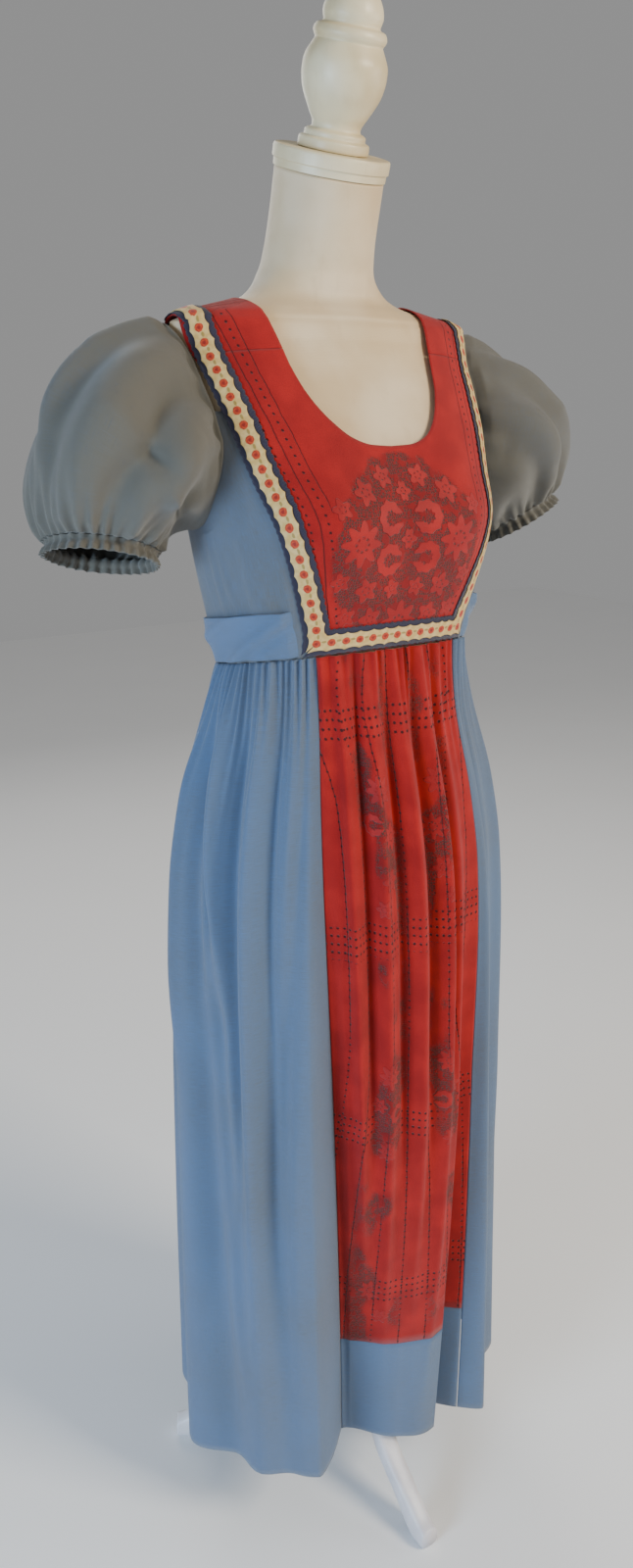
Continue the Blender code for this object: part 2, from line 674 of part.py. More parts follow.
def make_cuff(sleeve):
    """The gathered casing below the puff, ending in a small frill."""
    middle, out, forward, up = cuff_frame(sleeve)
    turn = np.arange(CUFF_COLUMNS) * 2 * math.pi / CUFF_COLUMNS
    ring = out * np.cos(turn)[:, None] + forward * np.sin(turn)[:, None]
    wave = (1 + np.cos(np.arange(CUFF_COLUMNS) * math.pi)) / 2
    rows = []
    for drop, radius, depth in ((SEAM_GAP, 0.0, 0.0030), (0.6 * CUFF_HEIGHT, -0.001, 0.0026),
                                (CUFF_HEIGHT, 0.002, 0.0040)):
        reach = CUFF_RADIUS + radius + depth * wave
        rows.append(middle + ring * reach[:, None] - up * drop)
    rows = np.array(rows)
    loft(f"cuff_{sleeve.name}", list(rows), list(rows + ring * CLOTH_WALL), BLUE, closed=True)


# Skirt


def skirt_columns():
    """Waist angle in degrees of each gather column, all round."""
    return np.concatenate([np.linspace(p.start, p.end, p.columns + 1)[:-1] for p in SKIRT_PANELS])


def fold_value(name, waist):
    """A column of the fold table at waist angles, going round."""
    table = [*FOLDS, *(row._replace(waist=row.waist + 360, hem=row.hem + 360) for row in FOLDS[:3])]
    table = [row._replace(waist=row.waist - 360, hem=row.hem - 360) for row in FOLDS[-3:]] + table
    return monotone(column(table, "waist"), column(table, name), waist)


def skirt_at(waist, share, wave):
    """The skirt's inner surface below the waist angle, at a share of the way down, on a gather's crest or not."""
    waist, share, wave = np.broadcast_arrays(waist, share, wave)
    seam = waist_around(np.radians(waist))
    z = seam[..., 2] * (1 - share) + HEM_Z * share
    bend = share**0.8
    angle = np.radians(waist + (fold_value("hem", waist) - waist) * bend)
    wide = monotone(column(SKIRT, "height"), column(SKIRT, "half_width"), z)
    deep = monotone(column(SKIRT, "height"), column(SKIRT, "half_depth"), z)
    plain = 1 / np.sqrt((np.sin(angle) / wide) ** 2 + (np.cos(angle) / deep) ** 2)
    seam_reach = np.hypot(seam[..., 0], seam[..., 1] - SKIRT_MIDDLE)
    wide = monotone(column(SKIRT, "height"), column(SKIRT, "half_width"), seam[..., 2])
    deep = monotone(column(SKIRT, "height"), column(SKIRT, "half_depth"), seam[..., 2])
    start = np.radians(waist)
    seam_plain = 1 / np.sqrt((np.sin(start) / wide) ** 2 + (np.cos(start) / deep) ** 2)
    near_seam = np.exp(-share / 0.05)
    reach = plain + (seam_reach + BODICE_LIFT - seam_plain) * near_seam
    middle = fold_value("reach_middle", waist)
    hem = fold_value("reach_hem", waist)
    low, high = np.clip(share / 0.5, 0, 1), np.clip((share - 0.5) / 0.5, 0, 1)
    reach = reach + middle * low**1.4 + (hem - middle) * high**1.1
    reach = reach + GATHER_DEPTH * wave * np.exp(-((share / GATHER_FADE) ** 1.5))
    return stack(reach * np.sin(angle), SKIRT_MIDDLE - reach * np.cos(angle), z)


def make_skirt():
    waist = skirt_columns()
    wave = np.arange(len(waist)) % 2
    stations = np.array(GATHERED_STATIONS + PLAIN_STATIONS)[:, None]
    rows = skirt_at(waist[None], stations, wave[None])
    face = ring_normals(rows, np.array([0.0, SKIRT_MIDDLE, 0.6]))
    tangent = unit(np.roll(rows, -1, axis=1) - np.roll(rows, 1, axis=1))
    rows[0, :, 2] -= SEAM_GAP + CLOTH_WALL
    outer = rows + face * CLOTH_WALL
    gathered = len(GATHERED_STATIONS)
    start = 0
    for piece in SKIRT_PANELS:
        places = (start + np.arange(piece.columns + 1)) % len(waist)
        start += piece.columns
        inside, outside = rows[:, places].copy(), outer[:, places].copy()
        for grid in (inside, outside):
            grid[:, 0] += tangent[:, places[0]] * SEAM_GAP / 2
            grid[:, -1] -= tangent[:, places[-1]] * SEAM_GAP / 2
        stacks = []
        for grid in (inside, outside):
            stacks.append([grid[k] if k < gathered else grid[k, ::2] for k in range(len(stations))])
        if piece is not FRONT:
            loft(piece.name, *stacks, BLUE)
            continue
        upper, lower = [], []
        for rings in stacks:
            down = unit(rings[-1] - rings[-2])
            upper.append([*rings[:-2], rings[-2] - down * SEAM_GAP / 2])
            lower.append([rings[-2] + down * SEAM_GAP / 2, rings[-1]])
        loft("skirt_front", *upper, RED)
        loft("skirt_front_band", *lower, BLUE)


# Sash and bow


def make_sash():
    share = np.linspace(0, 1, 15)
    grid = []
    for up in (0.0, 0.5, 1.0):
        first, last = math.radians(53.0 + 5.0 * up), math.pi - math.radians(7.6)
        angle = first + (last - first) * share
        seam = waist_around(angle)
        draw = np.clip((share - 0.72) / 0.28, 0, 1) ** 1.5
        height = 0.0025 + SASH_WIDTH * up
        height = height + (SASH_WIDTH / 2 + (height - SASH_WIDTH / 2) * 0.5 - height) * draw
        grid.append(around(angle, seam[:, 2] + height))
    grid = lifted(np.array(grid), SASH_LIFT)
    cloth("sash_left", grid, BLUE)
    cloth("sash_right", mirrored(grid), BLUE)


def back_y(x, z=BOW_Z):
    origin = stack(x, SKIRT_MIDDLE, z)
    return hit(origin, stack(0.0 * np.asarray(x), 1.0, 0.0))[..., 1]


def make_bow():
    s = np.linspace(0, 1, 13)[:, None]
    w = np.array([-1.0, 0.0, 1.0])[None]
    sweep = np.sin(math.pi * s)
    x = KNOT_HALF_WIDTH + 0.0006 + LOOP_REACH * sweep + 0 * w
    y = back_y(x) + SASH_LIFT + CLOTH_WALL + 0.0045 + LOOP_DEPTH * (1 - np.cos(math.pi * s)) / 2
    half = LOOP_ROOT_HALF + (LOOP_HALF - LOOP_ROOT_HALF) * sweep**0.7
    z = BOW_Z - 0.010 * sweep + half * w
    loop = stack(x, y, z)
    hub = (KNOT_HALF_WIDTH + LOOP_REACH * 0.55, float(back_y(np.array([0.05]))[0]) + 0.012, BOW_Z)
    cloth("sash_loop_left", loop, BLUE, away_from=hub)
    cloth("sash_loop_right", mirrored(loop), BLUE, away_from=(-hub[0], hub[1], hub[2]))

    made = bpy.data.meshes.new("sash_knot")
    work = bmesh.new()
    bmesh.ops.create_cube(work, size=1.0)
    depth = KNOT_DEPTH + LOOP_DEPTH
    for point in work.verts:
        point.co.x *= 2 * KNOT_HALF_WIDTH
        point.co.y *= depth
        point.co.z *= KNOT_HEIGHT
    bmesh.ops.bevel(work, geom=work.edges[:], offset=0.006, segments=2, profile=0.5, affect="EDGES")
    work.to_mesh(made)
    work.free()
    knot = add_object("sash_knot", made, BLUE)
    ends = back_y(np.zeros(3), BOW_Z + KNOT_HEIGHT * np.array([-0.5, 0.0, 0.5]))
    knot.location = (0.0, float(ends.max()) + BODICE_LIFT + CLOTH_WALL + 0.0006 + depth / 2, BOW_Z)

    rows = np.linspace(0.0, TAIL_END, 9)[:, None]
    columns = np.linspace(0, TAIL_COLUMNS, 5)[None]
    spread = (BACK_LEFT.end - BACK_LEFT.start) / BACK_LEFT.columns
    aside = (1.4 + 1.6 * rows / TAIL_END + columns * (1 - 0.2 * rows / TAIL_END)) * spread
    share = 0.012 + rows
    hang = 0.0075 + 0.004 * np.cos(rows * 22) ** 2 * rows / TAIL_END
    lift = CLOTH_WALL + 0.0007 + (hang - 0.0007) * np.clip(rows / 0.10, 0, 1)
    for name, side in (("sash_tail_left", -1), ("sash_tail_right", 1)):
        base = skirt_at(180.0 + side * aside, share + 0 * columns, 1.0)
        off = unit(base - stack(0.0, SKIRT_MIDDLE, base[..., 2]))
        tail = base + off * (lift + 0 * columns)[..., None]
        cloth(name, tail, BLUE, away_from=(0.0, -0.03, 0.9))


# Dress form


def make_torso():
    heights = np.array([FORM_BOTTOM, 0.80, 0.87, 0.96, 1.045, 1.13, 1.19, 1.25, 1.30, 1.34, 1.375, 1.405,
                        1.428, 1.440, 1.4465, 1.455, 1.4625, 1.472, 1.485, 1.505, 1.535, NECK_TOP[1]])
    columns = 32
    angle = np.arange(columns) * 2 * math.pi / columns
    rings = around(angle[None], heights[:, None])
    under_dress = np.clip((1.462 - heights) / 0.035, 0.14, 1)[:, None]
    rings = rings - outward(rings) * (FORM_INSET * under_dress)[..., None]
    for end in (0, -1):
        rings[end, :, 2] = heights[end]
    rings[0] = rings[0] * 0.94 + np.array([0.0, STAND_Y * 0.06, FORM_BOTTOM * 0.06])
    lean = np.clip((heights - 1.50) / (NECK_TOP[1] - 1.50), 0, 1)
    offset = rings[..., 1] - body_at("middle", heights)[:, None]
    rings[..., 2] += lean[:, None] * offset * math.tan(NECK_TILT)
    faces = []
    for i in range(len(heights) - 1):
        for j in range(columns):
            k = (j + 1) % columns
            faces.append((i * columns + j, i * columns + k, (i + 1) * columns + k, (i + 1) * columns + j))
    faces.append(tuple(range(columns))[::-1])
    faces.append(tuple((len(heights) - 1) * columns + j for j in range(columns)))
    mesh = mesh_of("form_torso", rings, faces)
    add_object("form_torso", mesh, FORM_COVER)


def on_neck(item, height):
    """Stands a turned piece on the tilted neck, height above the neck's cut top."""
    item.rotation_euler = (NECK_TILT, 0.0, 0.0)
    item.location = (0.0, NECK_TOP[0] - height * math.sin(NECK_TILT), NECK_TOP[1] + height * math.cos(NECK_TILT))


def make_neck_top():
    r, h = CAP_RADIUS, CAP_HEIGHT
    profile = ((0.0, h), (r - 0.0015, h), (r, h - 0.0015), (r, 0.0078), (r - 0.0018, 0.0068),
               (r - 0.0018, 0.0), (0.0, 0.0))
    on_neck(turned("neck_cap", profile, PAINT), SEAM_GAP)

    profile = (
        (0.0, 0.143), (0.009, 0.1415), (0.018, 0.1355), (0.0255, 0.124), (0.0285, 0.112), (0.0275, 0.1045),
        (0.0330, 0.1015), (0.0350, 0.0965), (0.0330, 0.0905), (0.0345, 0.0865), (0.0405, 0.074),
        (0.0410, 0.062), (0.0370, 0.046), (0.0290, 0.029), (0.0240, 0.0205), (0.0250, 0.0175),
        (0.0300, 0.0160), (0.0305, 0.0110), (0.0345, 0.0095), (0.0355, 0.0025), (0.0345, 0.0), (0.0, 0.0),
    )
    on_neck(turned("finial", profile, PAINT, 20), CAP_HEIGHT + 2 * SEAM_GAP)


# Stand

LegStation = namedtuple("LegStation", "reach middle_z thick wide slope")
LEG = (
    LegStation(HUB_RADIUS + SEAM_GAP, 0.236, 0.052, 0.022, 0.0),
    LegStation(0.060, 0.232, 0.040, 0.023, -14.0),
    LegStation(0.085, 0.210, 0.032, 0.025, -50.0),
    LegStation(0.094, 0.170, 0.028, 0.027, -72.0),
    LegStation(0.103, 0.125, 0.025, 0.028, -74.0),
    LegStation(0.124, 0.080, 0.025, 0.028, -58.0),
    LegStation(0.165, 0.044, 0.028, 0.027, -44.0),
    LegStation(0.196, 0.0165, 0.036, 0.026, -20.0),
    LegStation(0.218, 0.0125, 0.025, 0.025, 0.0),
)


def make_leg(name, heading):
    """One curved leg: sections with cut corners along its side outline, turned to its heading."""
    corners = np.array([(0.5, 0.28), (0.28, 0.5), (-0.28, 0.5), (-0.5, 0.28),
                        (-0.5, -0.28), (-0.28, -0.5), (0.28, -0.5), (0.5, -0.28)])
    rings = []
    for station in LEG:
        tilt = math.radians(station.slope)
        lift = corners[:, 1] * station.thick
        ring = stack(station.reach - lift * math.sin(tilt), corners[:, 0] * station.wide,
                     station.middle_z + lift * math.cos(tilt))
        ring[:, 2] = np.maximum(ring[:, 2], 0.0)
        rings.append(ring)
    count = len(corners)
    faces = []
    for i in range(len(LEG) - 1):
        for j in range(count):
            k = (j + 1) % count
            faces.append((i * count + j, i * count + k, (i + 1) * count + k, (i + 1) * count + j))
    faces.append(tuple(range(count))[::-1])
    faces.append(tuple((len(LEG) - 1) * count + j for j in range(count)))
    mesh = mesh_of(name, np.array(rings), faces)
    work = bmesh.new()
    work.from_mesh(mesh)
    bmesh.ops.recalc_face_normals(work, faces=work.faces)
    work.to_mesh(mesh)
    work.free()
    leg = add_object(name, mesh, PAINT)
    leg.location = (0.0, STAND_Y, 0.0)
    leg.rotation_euler = (0.0, 0.0, heading)


def make_stand():
    for name, heading in (("leg_front", -90.0), ("leg_back_left", 30.0), ("leg_back_right", 150.0)):
        make_leg(name, math.radians(heading))
    r = HUB_RADIUS
    hub = turned("hub", ((0.0, HUB_TOP), (r * 0.8, HUB_TOP), (r, HUB_TOP - 0.008), (r, 0.205),
                         (r * 0.7, 0.188), (0.0, 0.188)), PAINT)
    hub.location = (0.0, STAND_Y, 0.0)
    length = FORM_BOTTOM - HUB_TOP - 2 * SEAM_GAP
    bpy.ops.mesh.primitive_cylinder_add(vertices=16, radius=POLE_RADIUS, depth=length)
    pole = bpy.context.active_object
    pole.name = "pole"
    for home in list(pole.users_collection):
        home.objects.unlink(pole)
    PARTS.objects.link(pole)
    pole.parent = PLACE
    pole.location = (0.0, STAND_Y, HUB_TOP + SEAM_GAP + length / 2)
    pole.data.materials.append(material("pole", PAINT))
    pole.data.shade_smooth()
    pole.data.set_sharp_from_angle(angle=math.radians(50))


clear_scene()
PARTS = bpy.data.collections.new("maxi_dress_on_form")
bpy.context.scene.collection.children.link(PARTS)
PLACE = bpy.data.objects.new("place", None)
PLACE.location = (PLACE_X, PLACE_Y, 0.0)
PARTS.objects.link(PLACE)

make_yoke()
make_straps()
make_side_fronts()
make_back()
make_trim("braid", BRAID_WIDTH, BRAID_LIFT, NAVY)
make_trim("ribbon", RIBBON_WIDTH, RIBBON_LIFT, CREAM)
for arm in SLEEVES:
    make_sleeve(arm)
    make_cuff(arm)
make_skirt()
make_sash()
make_bow()
make_torso()
make_neck_top()
make_stand()
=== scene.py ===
"""Maxi dress with puff sleeves, lace front and rosebud trim, worn by a limbless dress form on a stand."""

import math
from collections import namedtuple

import bpy
import numpy as np
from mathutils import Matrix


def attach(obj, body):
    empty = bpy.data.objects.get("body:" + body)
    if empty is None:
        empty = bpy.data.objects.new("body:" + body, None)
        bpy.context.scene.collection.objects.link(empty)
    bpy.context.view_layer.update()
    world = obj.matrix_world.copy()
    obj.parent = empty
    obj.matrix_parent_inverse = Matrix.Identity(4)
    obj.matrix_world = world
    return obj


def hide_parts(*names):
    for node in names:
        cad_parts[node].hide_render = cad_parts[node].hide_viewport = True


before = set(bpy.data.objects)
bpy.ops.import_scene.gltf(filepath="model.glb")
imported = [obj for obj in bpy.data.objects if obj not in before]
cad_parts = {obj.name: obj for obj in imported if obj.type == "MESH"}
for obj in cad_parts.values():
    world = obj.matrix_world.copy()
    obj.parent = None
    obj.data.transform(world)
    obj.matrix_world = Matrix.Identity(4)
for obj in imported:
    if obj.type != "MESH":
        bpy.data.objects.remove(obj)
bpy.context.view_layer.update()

# Camera
# It stands a little above the collar, in front of the dress and to the wearer's right, and looks down.

camera = bpy.data.cameras.new("camera")
camera.lens = 25.99
camera.sensor_width = 36.0
camera_stand = bpy.data.objects.new("camera", camera)
camera_turn, camera_drop = math.radians(33.0), math.radians(18.0)
camera_stand.location = (
    -1.271 * math.sin(camera_turn) - 0.0043 * math.cos(camera_turn) - 0.0062,
    -1.271 * math.cos(camera_turn) + 0.0043 * math.sin(camera_turn) + 0.0524,
    1.353,
)
camera_stand.rotation_euler = (math.pi / 2 - camera_drop, 0.0, -camera_turn)
bpy.context.scene.collection.objects.link(camera_stand)
bpy.context.scene.camera = camera_stand

# Dress form
# A padded torso with no arms, covered in smooth cream jersey drawn tight and stapled under the neck cap.
# Each section is a superellipse, and the front swells a little over the bust.

FormRing = namedtuple("FormRing", "height half_width half_depth middle power")
FORM = (
    FormRing(0.780, 0.140, 0.098, -0.035, 2.3),
    FormRing(0.870, 0.157, 0.108, -0.035, 2.3),
    FormRing(0.960, 0.144, 0.099, -0.035, 2.2),
    FormRing(1.045, 0.122, 0.088, -0.036, 2.1),
    FormRing(1.130, 0.137, 0.101, -0.036, 2.7),
    FormRing(1.190, 0.149, 0.112, -0.037, 2.7),
    FormRing(1.250, 0.160, 0.119, -0.036, 2.6),
    FormRing(1.300, 0.168, 0.110, -0.025, 2.6),
    FormRing(1.335, 0.173, 0.104, -0.016, 2.6),
    FormRing(1.375, 0.178, 0.0925, -0.0055, 2.4),
    FormRing(1.405, 0.180, 0.082, 0.000, 2.1),
    FormRing(1.430, 0.1815, 0.066, -0.004, 1.8),
    FormRing(1.440, 0.1800, 0.058, -0.007, 1.65),
    FormRing(1.447, 0.1640, 0.053, -0.008, 1.6),
    FormRing(1.455, 0.1320, 0.052, -0.003, 1.6),
    FormRing(1.4625, 0.1020, 0.052, 0.004, 1.7),
    FormRing(1.472, 0.0810, 0.055, 0.010, 1.9),
    FormRing(1.487, 0.0660, 0.0565, 0.011, 2.0),
    FormRing(1.505, 0.0595, 0.0565, 0.006, 2.0),
    FormRing(1.530, 0.0565, 0.0560, -0.001, 2.0),
    FormRing(1.555, 0.0555, 0.0555, -0.008, 2.0),
    FormRing(1.582, 0.0550, 0.0550, -0.0150, 2.0),
)
BUST_SWELL, BUST_X, BUST_Z, BUST_WIDE, BUST_TALL = 0.016, 0.080, 1.258, 0.055, 0.060
NECK_TILT = math.radians(17.5)
NECK_TOP_Y, NECK_TOP_Z = -0.0150, 1.5820
FORM_BOTTOM = 0.78
PLACE = np.array([-0.0062, 0.0524, 0.0])


def column(table, name):
    return [getattr(row, name) for row in table]


def monotone(xs, ys, x):
    """Monotone cubic curve through the points (xs, ys): Hermite spans with harmonic-mean slopes."""
    xs, ys = np.asarray(xs, float), np.asarray(ys, float)
    x = np.clip(x, xs[0], xs[-1])
    step = np.diff(xs)
    rise = np.diff(ys) / step
    slope = np.zeros_like(ys)
    slope[0], slope[-1] = rise[0], rise[-1]
    same = rise[:-1] * rise[1:] > 0
    near, far = 2 * step[1:] + step[:-1], step[1:] + 2 * step[:-1]
    before, after = np.where(same, rise[:-1], 1.0), np.where(same, rise[1:], 1.0)
    slope[1:-1] = np.where(same, (near + far) / (near / before + far / after), 0.0)
    i = np.clip(np.searchsorted(xs, x, side="right") - 1, 0, len(step) - 1)
    t = (x - xs[i]) / step[i]
    return (
        ys[i] * (1 + 2 * t) * (1 - t) ** 2 + ys[i + 1] * t * t * (3 - 2 * t)
        + step[i] * (slope[i] * t * (1 - t) ** 2 - slope[i + 1] * t * t * (1 - t))
    )


def form_at(name, z):
    return monotone(column(FORM, "height"), column(FORM, name), z)


def stack(x, y, z):
    return np.stack(np.broadcast_arrays(x, y, z), axis=-1).astype(float)


def unit(v):
    return v / np.maximum(np.linalg.norm(v, axis=-1, keepdims=True), 1e-12)


def form_value(p):
    """|x / half width|^power + |y / half depth|^power - 1: below 0 inside the form, 0 on it."""
    x, z = np.abs(p[..., 0]), p[..., 2]
    deep = form_at("half_depth", z)
    y = p[..., 1] - form_at("middle", z)
    swell = BUST_SWELL * np.exp(-(((x - BUST_X) / BUST_WIDE) ** 2) - ((z - BUST_Z) / BUST_TALL) ** 2)
    deep = np.where(y < 0, deep + swell, deep)
    power = form_at("power", z)
    return (x / form_at("half_width", z)) ** power + (np.abs(y) / deep) ** power - 1


def hit(origin, direction, reach=0.4):
    """Where rays from inside leave the form, found by halving the interval 24 times."""
    direction = unit(direction)
    near = np.zeros(origin.shape[:-1])
    far = np.full(origin.shape[:-1], reach)
    for _ in range(24):
        middle = (near + far) / 2
        inside = form_value(origin + direction * middle[..., None]) < 0
        near, far = np.where(inside, middle, near), np.where(inside, far, middle)
    return origin + direction * near[..., None]


def outward(p, step=1e-4):
    """The form's outward normal: the slope of form_value by central differences."""
    slope = [form_value(p + axis) - form_value(p - axis) for axis in np.eye(3) * step]
    return unit(np.stack(slope, axis=-1))


def around(angle, z):
    """The form's surface at an angle from the front, growing to the wearer's left, and a height."""
    angle, z = np.broadcast_arrays(np.asarray(angle, float), np.asarray(z, float))
    origin = stack(0.0, form_at("middle", z), z)
    return hit(origin, stack(np.sin(angle), -np.cos(angle), 0.0))


def surface(name, grid, uv, hub, closed=False, ends=False):
    """A grid of points as quads that face away from hub, with uv in metres. Closed joins the last column
    to the first, and ends caps the first and last rows."""
    rows, columns = grid.shape[:2]
    i, j = np.meshgrid(np.arange(rows - 1), np.arange(columns if closed else columns - 1), indexing="ij")
    k = (j + 1) % columns
    quads = np.stack([i * columns + j, i * columns + k, (i + 1) * columns + k, (i + 1) * columns + j], -1)
    quads = quads.reshape(-1, 4)
    corners = np.stack([uv[i, j], uv[i, j + 1], uv[i + 1, j + 1], uv[i + 1, j]], -2).reshape(-1, 4, 2)
    points = grid.reshape(-1, 3)
    across = points[quads[:, 1]] - points[quads[:, 0]]
    down = points[quads[:, 3]] - points[quads[:, 0]]
    turned_in = (np.cross(across, down) * (points[quads].mean(axis=1) - np.asarray(hub))).sum() < 0
    if turned_in:
        quads, corners = quads[:, ::-1], corners[:, ::-1]
    faces, loops = quads.tolist(), corners.reshape(-1, 2)
    if ends:
        first = list(range(columns))
        last = [(rows - 1) * columns + place for place in range(columns)]
        faces += [first if turned_in else first[::-1], last[::-1] if turned_in else last]
        loops = np.vstack([loops, np.zeros((2 * columns, 2))])
    mesh = bpy.data.meshes.new(name)
    mesh.from_pydata((points + PLACE).tolist(), [], faces)
    layer = mesh.uv_layers.new(name="cloth")
    layer.data.foreach_set("uv", loops.astype(np.float32).ravel())
    mesh.shade_smooth()
    mesh.update()
    return mesh


def add_piece(name, mesh, finish, slot, *nodes):
    """Links a mesh as a piece that rides on the one body and stands for its CAD nodes."""
    piece = bpy.data.objects.new(name, mesh)
    bpy.context.scene.collection.objects.link(piece)
    mesh.materials.append(finish)
    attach(piece, "root")
    if nodes:
        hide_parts(*nodes)
    return piece


class Value:
    """A socket in a formula. Each operator adds the Math node that works it out."""

    def __init__(self, finish, socket):
        self.finish, self.socket = finish, socket

    def math(self, operation, *others):
        inputs = dict(enumerate((self, *others)))
        return self.finish.node("ShaderNodeMath", {"operation": operation}, inputs)

    def __add__(self, other):
        return self.math("ADD", other)

    __radd__ = __add__

    def __sub__(self, other):
        return self.math("SUBTRACT", other)

    def __rsub__(self, other):
        return (self * -1.0) + other

    def __mul__(self, other):
        return self.math("MULTIPLY", other)

    __rmul__ = __mul__

    def __truediv__(self, other):
        return self.math("DIVIDE", other)

    def __pow__(self, other):
        return self.math("POWER", other)

    def step(self, low, high):
        """0 below low and 1 above high, with a soft rise between. A falling one has low above high."""
        share = ((self - low) * (1.0 / (high - low))).math("MAXIMUM", 0.0).math("MINIMUM", 1.0)
        return share * share * (3.0 - 2.0 * share)


class Finish:
    """A material built from formulas on the piece's own coordinates."""

    def __init__(self, name, roughness, sheen=0.0, specular=0.5):
        self.material = bpy.data.materials.new(name)
        self.material.use_nodes = True
        self.tree = self.material.node_tree
        self.shader = self.tree.nodes["Principled BSDF"]
        self.shader.inputs["Roughness"].default_value = roughness
        self.shader.inputs["Sheen Weight"].default_value = sheen
        self.shader.inputs["Specular IOR Level"].default_value = specular

    def node(self, kind, settings=None, inputs=None, output=0):
        made = self.tree.nodes.new(kind)
        for key, value in (settings or {}).items():
            setattr(made, key, value)
        for key, value in (inputs or {}).items():
            if isinstance(value, Value):
                self.tree.links.new(value.socket, made.inputs[key])
            else:
                made.inputs[key].default_value = value
        return Value(self, made.outputs[output])

    def place(self):
        return self.node("ShaderNodeTexCoord", output="Object")

    def cloth(self):
        return self.node("ShaderNodeUVMap", {"uv_map": "cloth"})

    def parts(self, vector):
        return [self.node("ShaderNodeSeparateXYZ", None, {0: vector}, output=k) for k in range(3)]

    def join(self, x, y, z=0.0):
        return self.node("ShaderNodeCombineXYZ", None, {0: x, 1: y, 2: z})

    def noise(self, vector, scale, detail=2.0, rough=0.5):
        inputs = {"Vector": vector, "Scale": scale, "Detail": detail, "Roughness": rough}
        return self.node("ShaderNodeTexNoise", None, inputs)

    def mix(self, share, a, b):
        """Colour a where share is 0 and b where it is 1."""
        a, b = (c if isinstance(c, Value) else (*c, 1.0) for c in (a, b))
        return self.node("ShaderNodeMix", {"data_type": "RGBA"}, {0: share, 6: a, 7: b}, output=2)

    def feed(self, name, value):
        self.tree.links.new(value.socket, self.shader.inputs[name])

    def relief(self, height, distance):
        """Raises the surface by height times distance in metres."""
        normal = self.node("ShaderNodeBump", None, {"Height": height, "Distance": distance, "Strength": 1.0})
        self.feed("Normal", normal)


def jersey_cover():
    """Cream jersey: fine vertical ribs of knit, faint handling marks and a pull towards the neck."""
    finish = Finish("jersey_cover", 0.42, sheen=0.15, specular=0.45)
    place = finish.place()
    x, y, z = finish.parts(place)
    soft = finish.noise(place, 9.0, 3.0)
    marks = finish.noise(finish.join(x, y, z * 0.35), 42.0, 4.0, 0.62)
    colour = finish.mix(soft.step(0.35, 0.70), (0.640, 0.470, 0.265), (0.760, 0.610, 0.410))
    colour = finish.mix(marks.step(0.55, 0.80) * 0.35, colour, (0.500, 0.340, 0.170))
    finish.feed("Base Color", colour)
    finish.feed("Roughness", 0.34 + 0.16 * marks)
    u, v, _ = finish.parts(finish.cloth())
    ribs = (u * (2 * math.pi / 0.0011)).math("SINE") * 0.5 + (v * (2 * math.pi / 0.0014)).math("SINE") * 0.3
    finish.relief(ribs * 0.15 + marks * 0.8 + soft * 2.0, 0.00045)
    return finish.material


form_heights = np.concatenate([
    np.linspace(FORM_BOTTOM, 1.40, 90), np.linspace(1.402, 1.50, 70), np.linspace(1.502, NECK_TOP_Z, 26)])
form_turn = np.arange(128) * 2 * math.pi / 128
form_rings = around(form_turn[None], form_heights[:, None])
under_dress = np.clip((1.462 - form_heights) / 0.035, 0.14, 1)[:, None]
form_rings = form_rings - outward(form_rings) * (0.0045 * under_dress)[..., None]
for form_end in (0, -1):
    form_rings[form_end, :, 2] = form_heights[form_end]
neck_lean = np.clip((form_heights - 1.50) / (NECK_TOP_Z - 1.50), 0, 1)
neck_offset = form_rings[..., 1] - form_at("middle", form_heights)[:, None]
form_rings[..., 2] += neck_lean[:, None] * neck_offset * math.tan(NECK_TILT)
form_uv = stack(np.linspace(0, 0.86, 129)[None], form_heights[:, None], 0.0)[..., :2]
form_mesh = surface("form_torso", form_rings, form_uv, (0.0, -0.03, 1.2), closed=True, ends=True)
form_cover = add_piece("form_cover", form_mesh, jersey_cover(), "form_cover", "form_torso")

# Neck cap and finial
# A turned wooden cap closes the neck, with a round-shouldered finial doweled into it. Both are sprayed
# with cream paint that gathers a little in the grooves.

CAP_HEIGHT, CAP_RADIUS = 0.020, 0.0585


def painted_wood(name, light, shade):
    """Cream paint: faint brush waves, a darker tone where dust sits, and small chips of roughness."""
    finish = Finish(name, 0.35, specular=0.5)
    place = finish.place()
    x, y, z = finish.parts(place)
    broad = finish.noise(place, 14.0, 3.0)
    brush = finish.noise(finish.join(x * 6.0, y * 6.0, z), 30.0, 3.0, 0.6)
    colour = finish.mix(broad.step(0.30, 0.72), shade, light)
    colour = finish.mix(brush.step(0.60, 0.85) * 0.4, colour, shade)
    finish.feed("Base Color", colour)
    finish.feed("Roughness", 0.28 + 0.20 * brush)
    finish.relief(brush * 0.6 + broad * 0.4, 0.0004)
    return finish.material


def smooth_line(points, per_span=8):
    """Catmull-Rom curve through an open row of points."""
    points = np.asarray(points, float)
    padded = np.vstack([2 * points[0] - points[1], points, 2 * points[-1] - points[-2]])
    a, b, c, d = (padded[k : len(padded) - 3 + k, None, :] for k in range(4))
    t = (np.arange(per_span) / per_span)[None, :, None]
    curve = 0.5 * (2 * b + (c - a) * t + (2 * a - 5 * b + 4 * c - d) * t**2 + (3 * b - a - 3 * c + d) * t**3)
    return np.vstack([curve.reshape(-1, points.shape[1]), points[-1:]])


